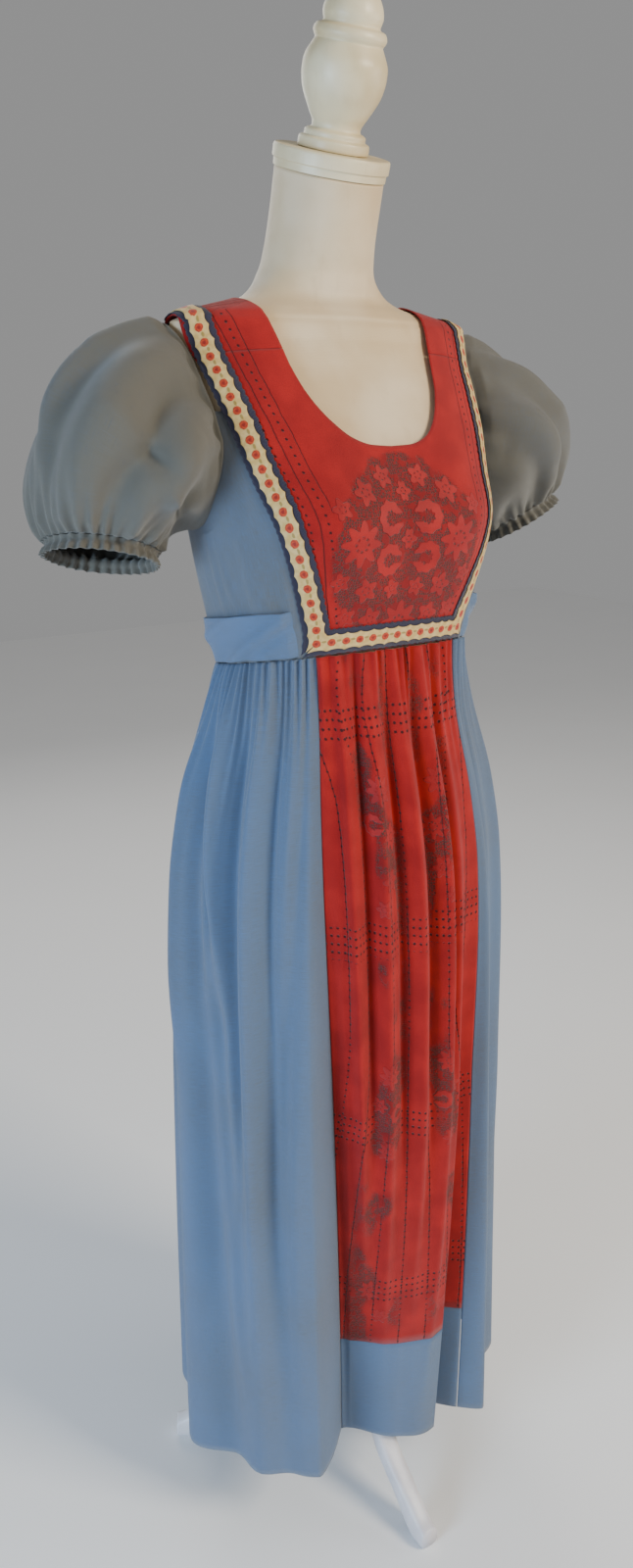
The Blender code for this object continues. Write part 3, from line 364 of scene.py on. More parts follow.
def turned(name, profile, base, lift, columns=96):
    """A profile of (radius, height) carried round an axis that leans with the neck, lift above base."""
    line = smooth_line(profile)
    turn = np.arange(columns) * 2 * math.pi / columns
    radius, height = line[:, :1], line[:, 1:] + lift
    x, depth = radius * np.sin(turn), -radius * np.cos(turn)
    lean = NECK_TILT if base[2] > 1.0 else 0.0
    y = base[1] + depth * math.cos(lean) - height * math.sin(lean)
    z = base[2] + depth * math.sin(lean) + height * math.cos(lean)
    uv = stack(np.linspace(0, 0.3, columns + 1)[None], line[:, 1:], 0.0)[..., :2]
    return surface(name, stack(x + base[0], y, z), uv, np.mean([[base[0], y.mean(), z.mean()]], axis=0),
                   closed=True, ends=True)


cream_paint = painted_wood("cream_paint", (0.760, 0.660, 0.440), (0.560, 0.440, 0.240))
neck_base = (0.0, NECK_TOP_Y, NECK_TOP_Z)
r, h = CAP_RADIUS, CAP_HEIGHT
cap_profile = (
    (r - 0.0022, 0.0004), (r - 0.0020, 0.0010), (r - 0.0018, 0.0060), (r - 0.0016, 0.0070),
    (r - 0.0004, 0.0078), (r, 0.0090), (r, h - 0.0030), (r - 0.0006, h - 0.0010), (r - 0.0022, h),
    (r - 0.0100, h), (0.036, h),
)
cap_mesh = turned("neck_cap", cap_profile, neck_base, 0.0004)
add_piece("neck_disc", cap_mesh, cream_paint, "painted_wood", "neck_cap")

finial_profile = (
    (0.0345, 0.0), (0.0353, 0.0012), (0.0355, 0.0040), (0.0350, 0.0085), (0.0330, 0.0100), (0.0306, 0.0112),
    (0.0303, 0.0150), (0.0280, 0.0168), (0.0250, 0.0180), (0.0241, 0.0205), (0.0252, 0.0245),
    (0.0290, 0.0310), (0.0370, 0.0460), (0.0402, 0.0570), (0.0411, 0.0660), (0.0400, 0.0760),
    (0.0352, 0.0855), (0.0335, 0.0885), (0.0328, 0.0905), (0.0345, 0.0935), (0.0353, 0.0965),
    (0.0345, 0.0995), (0.0326, 0.1020), (0.0285, 0.1035), (0.0273, 0.1052), (0.0282, 0.1090),
    (0.0288, 0.1130), (0.0276, 0.1190), (0.0240, 0.1262), (0.0170, 0.1345), (0.0110, 0.1385),
    (0.0080, 0.1405), (0.0030, 0.1424), (0.0004, 0.1428),
)
finial_mesh = turned("finial", finial_profile, neck_base, CAP_HEIGHT + 0.0008)
add_piece("acorn_finial", finial_mesh, cream_paint, "painted_wood", "finial")

# Stand
# A round pole from the torso down to a turned hub, with three sawn and rounded legs screwed to it. All
# are painted white.

STAND_Y = -0.035
HUB_RADIUS, HUB_TOP, POLE_RADIUS = 0.030, 0.290, 0.014
LegStation = namedtuple("LegStation", "reach middle_z thick wide slope")
LEG = (
    LegStation(HUB_RADIUS + 0.0004, 0.236, 0.052, 0.022, 0.0),
    LegStation(0.060, 0.232, 0.040, 0.023, -14.0),
    LegStation(0.085, 0.210, 0.032, 0.025, -50.0),
    LegStation(0.094, 0.170, 0.028, 0.027, -72.0),
    LegStation(0.103, 0.125, 0.025, 0.028, -74.0),
    LegStation(0.124, 0.080, 0.025, 0.028, -58.0),
    LegStation(0.165, 0.044, 0.028, 0.027, -44.0),
    LegStation(0.196, 0.0165, 0.036, 0.026, -20.0),
    LegStation(0.218, 0.0125, 0.025, 0.025, 0.0),
)


def leg_rings(heading, columns=40):
    """Rounded-square sections, |a|^3.2 + |b|^3.2 = 1, along the leg's curve and turned to its heading."""
    rows = smooth_line(np.array(LEG, float), 10)
    turn = np.arange(columns) * 2 * math.pi / columns
    size = (np.abs(np.cos(turn)) ** 3.2 + np.abs(np.sin(turn)) ** 3.2) ** (-1 / 3.2)
    side, up = np.cos(turn) * size / 2, np.sin(turn) * size / 2
    slope = np.radians(rows[:, 4:5])
    lift = up[None] * rows[:, 2:3] * 0.97
    reach = rows[:, 0:1] - lift * np.sin(slope)
    aside = side[None] * rows[:, 3:4] * 0.97
    z = np.maximum(rows[:, 1:2] + lift * np.cos(slope), 0.0)
    x = reach * math.cos(heading) - aside * math.sin(heading)
    y = reach * math.sin(heading) + aside * math.cos(heading) + STAND_Y
    return stack(x, y, z)


white_paint = painted_wood("white_paint", (0.800, 0.780, 0.800), (0.600, 0.570, 0.600))
for leg_name, leg_heading in (("leg_front", -90.0), ("leg_back_left", 30.0), ("leg_back_right", 150.0)):
    rings = leg_rings(math.radians(leg_heading))
    leg_around, leg_along = np.linspace(0, 0.11, rings.shape[1] + 1), np.linspace(0, 0.4, len(rings))
    leg_uv = stack(leg_around[None], leg_along[:, None], 0)
    middle = np.array([0.12 * math.cos(math.radians(leg_heading)),
                       STAND_Y + 0.12 * math.sin(math.radians(leg_heading)), 0.12])
    leg_mesh = surface(leg_name, rings, leg_uv[..., :2], middle, closed=True, ends=True)
    add_piece(f"{leg_name}_wood", leg_mesh, white_paint, "painted_wood", leg_name)

hub_profile = ((0.020, 0.188), (0.0212, 0.1884), (0.0240, 0.1930), (0.0292, 0.2030), (0.0300, 0.2080),
               (0.0300, 0.2700), (0.0300, 0.2800), (0.0288, 0.2850), (0.0255, 0.2896), (0.0235, 0.2900),
               (0.0150, 0.2900))
hub_mesh = turned("hub", hub_profile, (0.0, STAND_Y, 0.0), 0.0)
add_piece("stand_hub", hub_mesh, white_paint, "painted_wood", "hub")
pole_edge = POLE_RADIUS - 0.0003
pole_profile = ((pole_edge, HUB_TOP + 0.0004), (POLE_RADIUS, HUB_TOP + 0.0010), (POLE_RADIUS, 0.45),
                (POLE_RADIUS, 0.65), (POLE_RADIUS, FORM_BOTTOM - 0.0010), (pole_edge, FORM_BOTTOM - 0.0004))
pole_mesh = turned("pole", pole_profile, (0.0, STAND_Y, 0.0), 0.0, 48)
add_piece("stand_pole", pole_mesh, white_paint, "painted_wood", "pole")

# Yoke and shoulder straps
# Red floral cotton lace over a thin dark ground, cut as a deep scooped centre front. The straps join it
# by a short cross seam on each side, and run over the shoulders to the back.

LIFT = 0.0026
WALL = 0.0014
GAP = 0.0002
SHOULDER_SEAM, STRAP_SEAM = 1.4846, 1.410
WAIST_AT_AXIS, WAIST_SLOPE = 1.101, 0.19
SLEEVE_MEETS_TRIM, STRAP_UNDER_TRIM = 1.357, 0.012
TRIM_CORNER_X = 0.0875
TURN_Z, TURN_RADIUS, PIVOT_Y, CORE_Z = 1.400, 0.050, 0.002, 1.380
TrimRow = namedtuple("TrimRow", "path x")
TRIM_LINE = (
    TrimRow(1.085, 0.0872), TrimRow(1.100, 0.0875), TrimRow(1.141, 0.0885), TrimRow(1.180, 0.099),
    TrimRow(1.215, 0.110), TrimRow(1.250, 0.121), TrimRow(1.300, 0.1335), TrimRow(1.355, 0.1445),
    TrimRow(1.400, 0.153), TrimRow(1.440, 0.159), TrimRow(1.4846, 0.164),
)
NeckRow = namedtuple("NeckRow", "x path")
FRONT_NECK = (
    NeckRow(0.0, 1.324), NeckRow(0.024, 1.3255), NeckRow(0.044, 1.332), NeckRow(0.060, 1.345),
    NeckRow(0.072, 1.361), NeckRow(0.081, 1.380), NeckRow(0.089, 1.410),
)
STRAP_INNER = (NeckRow(0.089, 1.410), NeckRow(0.096, 1.440), NeckRow(0.103, 1.4846))
BACK_NECK = (
    NeckRow(0.0, 1.551), NeckRow(0.030, 1.548), NeckRow(0.058, 1.540), NeckRow(0.078, 1.525),
    NeckRow(0.095, 1.505), NeckRow(0.103, 1.4846),
)
MIRROR = np.array([-1.0, 1.0, 1.0])
BODICE_HUB = (0.0, -0.03, 1.28)


def over_shoulder(x, path):
    """The form's surface at x and at a place on the path up the front, over the shoulder and down the
    back: rays leave a pivot line at an angle that turns by pi between front and back."""
    x, path = np.broadcast_arrays(np.asarray(x, float), np.asarray(path, float))
    turn = np.clip((path - TURN_Z) / TURN_RADIUS, 0, math.pi)
    z = np.where(path < TURN_Z, path, TURN_Z - np.maximum(path - TURN_Z - math.pi * TURN_RADIUS, 0))
    return hit(stack(x, PIVOT_Y, z), stack(0 * x, -np.cos(turn), np.sin(turn)))


def lifted(p, lift):
    return p + outward(p) * lift


def waist_height(y):
    return WAIST_AT_AXIS - WAIST_SLOPE * y


def waist_front(x):
    """The empire seam's place on the front path at x."""
    path = np.full(np.shape(x), WAIST_AT_AXIS)
    for _ in range(8):
        path = waist_height(over_shoulder(x, path)[..., 1])
    return path


def trim_x(path):
    return monotone(column(TRIM_LINE, "path"), column(TRIM_LINE, "x"), path)


def seam_x(path):
    """Edge of the red cloth: the trim's middle, and near its outer edge above the sleeve."""
    rise = np.clip((np.asarray(path) - SLEEVE_MEETS_TRIM) / (STRAP_SEAM - SLEEVE_MEETS_TRIM), 0, 1)
    return trim_x(path) + STRAP_UNDER_TRIM * rise * rise * (3 - 2 * rise)


def resample(points, count, closed=False):
    """The same line as count points, evenly spaced along it."""
    points = np.asarray(points, float)
    if closed:
        points = np.vstack([points, points[:1]])
    length = np.concatenate([[0], np.cumsum(np.linalg.norm(np.diff(points, axis=0), axis=1))])
    want = np.linspace(0, length[-1], count + 1)[:-1] if closed else np.linspace(0, length[-1], count)
    return np.stack([np.interp(want, length, points[:, k]) for k in range(points.shape[1])], axis=1)


def cut_of(grid):
    """(widest row, longest column) and the area of a grid of points, as if laid flat."""
    across = np.linalg.norm(np.diff(grid, axis=1), axis=-1)
    down = np.linalg.norm(np.diff(grid, axis=0), axis=-1)
    a, b = grid[1:, 1:] - grid[:-1, :-1], grid[1:, :-1] - grid[:-1, 1:]
    area = np.linalg.norm(np.cross(a, b), axis=-1).sum() / 2
    width, length = across.sum(axis=1).max(), down.sum(axis=0).max()
    return (float(width), float(length)), float(min(area, width * length))


def cloth_piece(name, grid, uv, finish, slot, hub, nodes, closed=False, wall=WALL):
    """A sheet of cloth: the grid is its outer face, and its wall grows inwards from there."""
    piece = add_piece(name, surface(name, grid, uv, hub, closed), finish, slot, *nodes)
    solid = piece.modifiers.new("wall", "SOLIDIFY")
    solid.thickness = wall
    solid.offset = -1.0
    loop = np.concatenate([grid, grid[:, :1]], axis=1) if closed else grid
    flat, area = cut_of(loop)
    return piece


def petals(finish, x, y, count, size, turn=0.0):
    """A flower: 1 on its petals and 0 off them. The edge is r = size (0.74 + 0.26 cos(count angle)), with
    a ring of small holes round a solid centre."""
    radius = (x * x + y * y).math("SQRT")
    angle = finish.node("ShaderNodeMath", {"operation": "ARCTAN2"}, {0: y, 1: x})
    lobes = ((angle + turn) * float(count)).math("COSINE")
    edge = (lobes * 0.20 + 0.80) * size
    whole = (radius - edge).step(0.0004, -0.0004)
    ring = ((radius - size * 0.30).math("ABSOLUTE") - size * 0.055).step(0.0002, -0.0003)
    holes = ring * lobes.step(-0.25, 0.25)
    return whole * (1.0 - holes * 0.9), whole * (1.0 - (radius * (1.0 / size)) ** 2.0 * 0.35)


def c_ring(finish, x, y, size, open_side):
    """A thick open ring, like a C: 1 on it and 0 off it."""
    radius = (x * x + y * y).math("SQRT")
    scallop = (finish.node("ShaderNodeMath", {"operation": "ARCTAN2"}, {0: y, 1: x}) * 9.0).math("COSINE")
    band = (radius - size * 0.68).math("ABSOLUTE") - (size * 0.28 + scallop * size * 0.05)
    beside = (x * open_side - size * 0.25).step(-0.0010, 0.0010)
    level = (y.math("ABSOLUTE") - size * 0.22).step(0.001, -0.001)
    gap = beside * level
    return band.step(0.0004, -0.0004) * (1.0 - gap)


def net(finish, u, v, pitch):
    """A mesh of fine threads: 1 on the threads, 0 in the holes, as six-sided cells."""
    cells = finish.node("ShaderNodeTexVoronoi", {"feature": "DISTANCE_TO_EDGE"},
                        {"Vector": finish.join(u, v), "Scale": 1.0 / pitch, "Randomness": 0.55})
    return cells.step(0.20, 0.08)


def eyelets(finish, u, v, pitch_u, pitch_v, radius):
    """Small round holes on a grid: 1 in a hole."""
    x = ((u * (1.0 / pitch_u)).math("FRACT") - 0.5) * pitch_u
    y = ((v * (1.0 / pitch_v)).math("FRACT") - 0.5) * pitch_v
    return ((x * x + y * y).math("SQRT") - radius).step(0.0003, -0.0003)


LACE_RED, LACE_LIGHT = (0.290, 0.003, 0.003), (0.420, 0.008, 0.006)
LACE_DARK, LACE_GROUND = (0.050, 0.001, 0.002), (0.070, 0.028, 0.022)
Motif = namedtuple("Motif", "kind x y size count")
YOKE_MOTIFS = (
    Motif("flower", 0.060, 1.236, 0.0225, 8), Motif("flower", 0.0, 1.154, 0.0230, 8),
    Motif("flower", 0.050, 1.282, 0.0130, 5), Motif("flower", 0.046, 1.190, 0.0130, 5),
    Motif("flower", 0.0, 1.238, 0.0100, 5), Motif("ring", 0.0235, 1.258, 0.0165, 0),
    Motif("ring", 0.0235, 1.219, 0.0165, 0), Motif("flower", 0.022, 1.296, 0.0115, 5),
    Motif("flower", 0.036, 1.160, 0.0130, 5), Motif("flower", 0.015, 1.190, 0.0100, 5),
    Motif("flower", 0.0, 1.282, 0.0095, 5), Motif("flower", 0.080, 1.268, 0.0100, 5),
    Motif("flower", 0.076, 1.200, 0.0105, 5), Motif("flower", 0.064, 1.164, 0.0110, 5),
)


def lace_finish(name, motifs, ground, tuck_lines, eyelet_bands):
    """Red lace on the piece's cloth coordinates: motifs of worked thread, a net ground where the ground
    mask is 1, and elsewhere close-worked bands with rows of eyelets and stitched tucks."""
    finish = Finish(name, 0.78, sheen=0.12, specular=0.3)
    cloth = finish.cloth()
    u, v, _ = finish.parts(cloth)
    wobble = finish.noise(cloth, 60.0, 2.0)
    wide, tall = u + (wobble - 0.5) * 0.0022, v + (wobble - 0.5) * 0.0022
    side = wide.math("ABSOLUTE")
    worked, height = 0.0, 0.0
    for motif in motifs:
        x, y = side - motif.x, tall - motif.y
        if motif.kind == "flower":
            mask, dome = petals(finish, x, y, motif.count, motif.size)
        else:
            mask = c_ring(finish, x, y, motif.size, -1.0)
            dome = mask
        worked = mask if isinstance(worked, float) else worked.math("MAXIMUM", mask)
        height = dome if isinstance(height, float) else height.math("MAXIMUM", dome)
    threads = net(finish, wide, tall, 0.0026)
    sprigs = finish.noise(finish.join(wide, tall), 85.0, 1.0).step(0.55, 0.61)
    mesh_area = ground(finish, side, tall) * (1.0 - worked)
    thread = threads.math("MAXIMUM", sprigs)
    holes = eyelet_bands(finish, side, tall) * (1.0 - ground(finish, side, tall))
    tucks = tuck_lines(finish, side, tall)
    fuzz = finish.noise(cloth, 900.0, 3.0, 0.7)
    tone = finish.noise(cloth, 26.0, 3.0)
    red = finish.mix(tone.step(0.30, 0.75), LACE_RED, LACE_LIGHT)
    red = finish.mix(fuzz.step(0.35, 0.75) * 0.35, red, LACE_DARK)
    colour = finish.mix(mesh_area * (1.0 - thread), red, LACE_GROUND)
    colour = finish.mix(mesh_area * thread * 0.35, colour, LACE_DARK)
    colour = finish.mix(holes, colour, LACE_DARK)
    colour = finish.mix(tucks * 0.75, colour, LACE_DARK)
    finish.feed("Base Color", colour)
    finish.feed("Roughness", 0.86 - 0.20 * worked)
    rise = worked * 1.0 + height * 0.5 - mesh_area * (1.0 - thread) * 0.9 - holes * 1.2 - tucks * 1.0
    finish.relief(rise + fuzz * 0.35, 0.0009)
    return finish.material


def yoke_ground(finish, side, tall):
    """The net lies in a heart-shaped field round the middle of the yoke."""
    x, y = side * (1.0 / 0.088), (tall - 1.226) * (1.0 / 0.090)
    edge = finish.noise(finish.join(side, tall), 55.0, 1.0) * 0.30
    return (x * x + y * y + edge).step(1.22, 1.08)


def yoke_tucks(finish, side, tall):
    """A stitched tuck on each side, that leans in as the trim does."""
    lean = side - (tall - 1.14) * 0.235
    first = ((lean - 0.076).math("ABSOLUTE") - 0.0005).step(0.0004, -0.0002)
    second = ((lean - 0.060).math("ABSOLUTE") - 0.0004).step(0.0004, -0.0002)
    return first.math("MAXIMUM", second * (tall - 1.27).step(-0.01, 0.01))


def yoke_eyelets(finish, side, tall):
    """Rows of eyelets that run up the close-worked side bands."""
    lean = side - (tall - 1.14) * 0.235
    band = ((lean - 0.0685).math("ABSOLUTE") - 0.0030).step(0.0006, -0.0006)
    band = band.math("MAXIMUM", (lean - 0.078).step(-0.001, 0.001))
    return eyelets(finish, lean, tall, 0.0090, 0.0075, 0.0012) * band


def arc_table():
    """Distance along the surface from the middle, by x and path, as a small table to interpolate."""
    x, path = np.linspace(0, 0.19, 58), np.linspace(1.09, 1.56, 60)
    points = over_shoulder(x[None], path[:, None])
    length = np.linalg.norm(np.diff(points, axis=1), axis=-1).cumsum(axis=1)
    return x, path, np.concatenate([np.zeros((len(path), 1)), length], axis=1)


ARC_X, ARC_PATH, ARC = arc_table()


def cloth_uv(x, path):
    """Cloth coordinates: distance from the middle along the surface, and the path."""
    i = np.clip(np.searchsorted(ARC_PATH, path) - 1, 0, len(ARC_PATH) - 2)
    j = np.clip(np.searchsorted(ARC_X, np.abs(x)) - 1, 0, len(ARC_X) - 2)
    s = np.clip((path - ARC_PATH[i]) / (ARC_PATH[1] - ARC_PATH[0]), 0, 1)
    t = np.clip((np.abs(x) - ARC_X[j]) / (ARC_X[1] - ARC_X[0]), 0, 1)
    near = ARC[i, j] * (1 - s) + ARC[i + 1, j] * s
    far = ARC[i, j + 1] * (1 - s) + ARC[i + 1, j + 1] * s
    arc = near * (1 - t) + far * t
    return np.stack([arc * np.sign(x), path], axis=-1)


yoke_lace = lace_finish("yoke_lace", YOKE_MOTIFS, yoke_ground, yoke_tucks, yoke_eyelets)

yoke_side = np.linspace(STRAP_SEAM - GAP, float(waist_front(np.array([TRIM_CORNER_X]))[0]), 70)
yoke_foot = np.linspace(TRIM_CORNER_X, 0, 26)[1:]
yoke_outer = np.vstack([np.stack([seam_x(yoke_side) - GAP, yoke_side], 1),
                        np.stack([yoke_foot, waist_front(yoke_foot) + GAP], 1)])
neck_rows = np.array(FRONT_NECK[::-1])
neck_place = np.linspace(0, 1, len(neck_rows))
neck_fine = np.linspace(0, 1, 160)
neck_curve = np.stack([monotone(neck_place, neck_rows[:, k], neck_fine) for k in (0, 1)], axis=1)
neck_curve[:, 1] = np.minimum(neck_curve[:, 1], STRAP_SEAM - GAP)
yoke_inner = resample(neck_curve, len(yoke_outer))
flip = np.array([-1.0, 1.0])
left_and_right = [np.vstack([half, half[-2::-1] * flip]) for half in (yoke_inner, yoke_outer)]
yoke_share = np.linspace(0, 1, 44)[:, None, None]
yoke_map = left_and_right[0][None] * (1 - yoke_share) + left_and_right[1][None] * yoke_share
yoke_grid = lifted(over_shoulder(yoke_map[..., 0], yoke_map[..., 1]), LIFT)
cloth_piece("lace_yoke", yoke_grid, cloth_uv(yoke_map[..., 0], yoke_map[..., 1]), yoke_lace, "red_lace",
            BODICE_HUB, ["front_yoke"])

strap_path = np.linspace(STRAP_SEAM + GAP, SHOULDER_SEAM, 40)
strap_inner = monotone(column(STRAP_INNER, "path"), column(STRAP_INNER, "x"), strap_path)
strap_share = np.linspace(0, 1, 26)[:, None]
for side, hand in ((1.0, "left"), (-1.0, "right")):
    strap_x = side * (strap_inner * (1 - strap_share) + seam_x(strap_path) * strap_share)
    strap_grid = lifted(over_shoulder(strap_x, strap_path), LIFT)
    cloth_piece(f"lace_strap_{hand}", strap_grid, cloth_uv(strap_x, strap_path + 0 * strap_x), yoke_lace,
                "red_lace", BODICE_HUB, [f"strap_{hand}"])

# Side fronts and back
# Blue cotton chambray, woven with a blue warp and a pale grey-brown weft. Each piece also mixes in its own
# share of that grey-brown as painted shade, most on the sleeves and least on the sash. The side fronts are
# eased into the waist, so soft folds rise from it. The back is one plain piece.

CHAMBRAY_BLUE, CHAMBRAY_GREY_WEFT_AND_SHADE = (0.092, 0.170, 0.315), (0.110, 0.104, 0.086)
CHAMBRAY_DEEP = (0.022, 0.034, 0.062)
ArmholeRow = namedtuple("ArmholeRow", "height front back")
ARMHOLE_TOP = ArmholeRow(1.434, -0.004, -0.004)
ARMHOLE = (
    ArmholeRow(1.427, -0.014, 0.012), ArmholeRow(1.412, -0.024, 0.030), ArmholeRow(1.395, -0.034, 0.045),
    ArmholeRow(1.375, -0.047, 0.055), ArmholeRow(1.350, -0.061, 0.063), ArmholeRow(1.320, -0.072, 0.066),
    ArmholeRow(1.290, -0.070, 0.062), ArmholeRow(1.266, -0.055, 0.048), ArmholeRow(1.250, -0.033, 0.027),
)
ARMHOLE_BOTTOM = ArmholeRow(1.244, -0.003, -0.003)


def chambray(name, painted_shade_share):
    """Plain weave of two colours: threads 0.5 mm apart with slubs along both. The piece's share adds painted
    shade: a greyer mix for the pieces that stand dimmer in the light.
    """
    finish = Finish(name, 0.82, sheen=0.25, specular=0.25)
    cloth = finish.cloth()
    u, v, _ = finish.parts(cloth)
    warp = (u * (2 * math.pi / 0.00055)).math("SINE")
    weft = (v * (2 * math.pi / 0.00060)).math("SINE")
    slub_up = finish.noise(finish.join(u * 18.0, v), 70.0, 3.0, 0.6)
    slub_across = finish.noise(finish.join(u, v * 18.0), 70.0, 3.0, 0.6)
    broad = finish.noise(finish.place(), 5.5, 3.0)
    weave = (warp - weft) * 0.25 + 0.5
    share = slub_across * 0.5 + (1.0 - slub_up) * 0.3 + weave * 0.2
    # The piece's share is painted shade: it turns the mix greyer on the dimmer pieces.
    grey = (share + (painted_shade_share - 0.5) + (broad - 0.5) * 0.5).step(0.10, 0.95)
    colour = finish.mix(grey, CHAMBRAY_BLUE, CHAMBRAY_GREY_WEFT_AND_SHADE)
    colour = finish.mix(slub_up.step(0.55, 0.80) * 0.30, colour, CHAMBRAY_DEEP)
    finish.feed("Base Color", colour)
    finish.feed("Roughness", 0.74 + 0.18 * slub_across)
    finish.relief((warp * weft) * 0.22 + slub_up * 0.7 + slub_across * 0.7, 0.00022)
    return finish.material


def project(p):
    """Points near the surface, moved onto it along rays from the form's axis."""
    z = np.minimum(p[..., 2], CORE_Z)
    origin = stack(0.0, form_at("middle", z), z)
    return hit(origin, p - origin)


def waist_around(angle):
    """The empire seam at these angles from the front."""
    z = np.full(np.shape(angle), WAIST_AT_AXIS)
    for _ in range(8):
        z = waist_height(around(angle, z)[..., 1])
    return around(angle, z)


def armhole_loop(count):
    """The left armhole as a closed ring on the surface, from its top round by the front."""
    front = [(row.front, row.height) for row in ARMHOLE]
    back = [(row.back, row.height) for row in ARMHOLE[::-1]]
    ring = np.array([(ARMHOLE_TOP.front, ARMHOLE_TOP.height), *front,
                     (ARMHOLE_BOTTOM.front, ARMHOLE_BOTTOM.height), *back])
    line = smooth_line(np.vstack([ring[-2:], ring, ring[:3]]), 8)[16:-16]
    side = resample(line[:-1], count, closed=True)
    origin = stack(0.0, side[:, 0], side[:, 1])
    return hit(origin, stack(np.ones(len(side)), 0.0, 0.0))


def spread_uv(grid):
    """Cloth coordinates of a grid: distance along the middle row, and along the middle column."""
    across = np.linalg.norm(np.diff(grid, axis=1), axis=-1)
    down = np.linalg.norm(np.diff(grid, axis=0), axis=-1)
    u = np.concatenate([np.zeros((len(grid), 1)), across.cumsum(axis=1)], axis=1)
    v = np.concatenate([np.zeros((1, grid.shape[1])), down.cumsum(axis=0)], axis=0)
    return np.stack([u - u.mean(axis=1, keepdims=True), v], axis=-1)


def side_seam(count):
    """The left side seam from the waist up to the armhole's lowest point."""
    low = waist_around(np.array([math.pi / 2]))[0]
    high = armhole_loop(144)
    high = high[np.argmin(high[:, 2])]
    share = np.linspace(0, 1, count)[:, None]
    return project(low * (1 - share) + high * share)


BodiceFold = namedtuple("BodiceFold", "along across_low across_high width height")
SIDE_FOLDS = (
    BodiceFold(0.60, 0.14, 0.17, 0.045, 0.0050), BodiceFold(0.50, 0.26, 0.36, 0.040, 0.0055),
    BodiceFold(0.80, 0.42, 0.36, 0.055, 0.0060), BodiceFold(0.55, 0.60, 0.66, 0.045, 0.0055),
    BodiceFold(0.70, 0.80, 0.70, 0.050, 0.0060),
)

# Each piece's chambray carries its own painted shade: 0.62 on the bodice, 0.92 on the sleeves, 0.42 on the
# skirt and 0.34 on the sash.
bodice_blue = chambray("bodice_chambray", 0.62)
armhole = armhole_loop(144)
lowest = int(np.argmin(armhole[:, 2]))
front_hole = armhole[: lowest + 1][::-1]
front_hole = front_hole[front_hole[:, 2] < SLEEVE_MEETS_TRIM]
side_outer = resample(np.vstack([side_seam(30), front_hole[1:]]), 80)
side_path = np.linspace(float(waist_front(np.array([TRIM_CORNER_X]))[0]), SLEEVE_MEETS_TRIM, 80)
side_inner = over_shoulder(seam_x(side_path) + GAP, side_path)
side_share = np.linspace(0, 1, 64)[:, None, None]
side_grid = project(side_inner[None] * (1 - side_share) + side_outer[None] * side_share)
side_middle = form_at("middle", side_grid[1:, 0, 2])
side_grid[1:, 0] = waist_around(np.arctan2(side_grid[1:, 0, 0], side_middle - side_grid[1:, 0, 1]))
along = np.linspace(0, 1, 80)[None]
across = side_share[..., 0]
side_rise = np.zeros((64, 80))
for fold in SIDE_FOLDS:
    centre = fold.across_low + (fold.across_high - fold.across_low) * along / fold.along
    fade = np.clip(1 - along / fold.along, 0, 1) ** 1.3
    side_rise += fold.height * fade * np.exp(-(((across - centre) / fold.width) ** 2))
under_sash = np.clip((along - 0.20) / 0.08, 0, 1)
side_rise *= 0.35 + 0.65 * under_sash
side_rise *= np.clip(across / 0.06, 0, 1) * np.clip((1 - across) / 0.05, 0, 1)
side_grid = side_grid + outward(side_grid) * (LIFT + side_rise)[..., None]
for mirror, hand in ((np.ones(3), "left"), (MIRROR, "right")):
    cloth_piece(f"side_front_cloth_{hand}", side_grid * mirror, spread_uv(side_grid), bodice_blue,
                "blue_cotton", BODICE_HUB, [f"side_front_{hand}"])

shoulder_end = over_shoulder(seam_x(SHOULDER_SEAM), SHOULDER_SEAM)
back_hole = resample(np.vstack([shoulder_end[None], armhole[lowest:][::-1][6:]]), 60)
back_across = waist_around(np.linspace(math.pi / 2, math.pi, 44))
back_outer = np.vstack([back_hole, side_seam(24)[::-1][1:], back_across[1:]])
back_rows = np.array(BACK_NECK[::-1])
back_place = np.linspace(0, 1, len(back_rows))
back_curve = [monotone(back_place, back_rows[:, k], neck_fine) for k in (0, 1)]
back_inner = resample(over_shoulder(*back_curve), len(back_outer))
back_edges = [np.vstack([half, half[-2::-1] * MIRROR]) for half in (back_inner, back_outer)]
back_share = np.linspace(0, 1, 60)[:, None, None]
back_grid = lifted(project(back_edges[0][None] * (1 - back_share) + back_edges[1][None] * back_share), LIFT)
cloth_piece("back_cloth", back_grid, spread_uv(back_grid), bodice_blue, "blue_cotton", BODICE_HUB,
            ["bodice_back"])

# Sleeves and cuffs
# Short puff sleeves of the same chambray, gathered into the armhole over the shoulder and into a narrow
# elastic casing below, which ends in a small frill. Big soft folds run from the shoulder to the casing.

CUFF_RADIUS, CUFF_HEIGHT = 0.0525, 0.014
SLEEVE_LIFT = 0.0048
CAP_TURNING = 0.014
CAP_GATHER, CAP_PLEAT, CUFF_GATHER, CUFF_PLEAT = 0.0045, 0.0070, 0.0048, 0.0075
Sleeve = namedtuple("Sleeve", "name side cuff_x cuff_z rise_out rise_front cap_angle cap_reach fullness")
SLEEVES = (
    Sleeve("right", -1, 0.258, 1.231, 0.25, 0.26, 13.0, 0.088, 0.093),
    Sleeve("left", 1, 0.272, 1.243, 0.48, 0.26, 4.0, 0.084, 0.098),
)
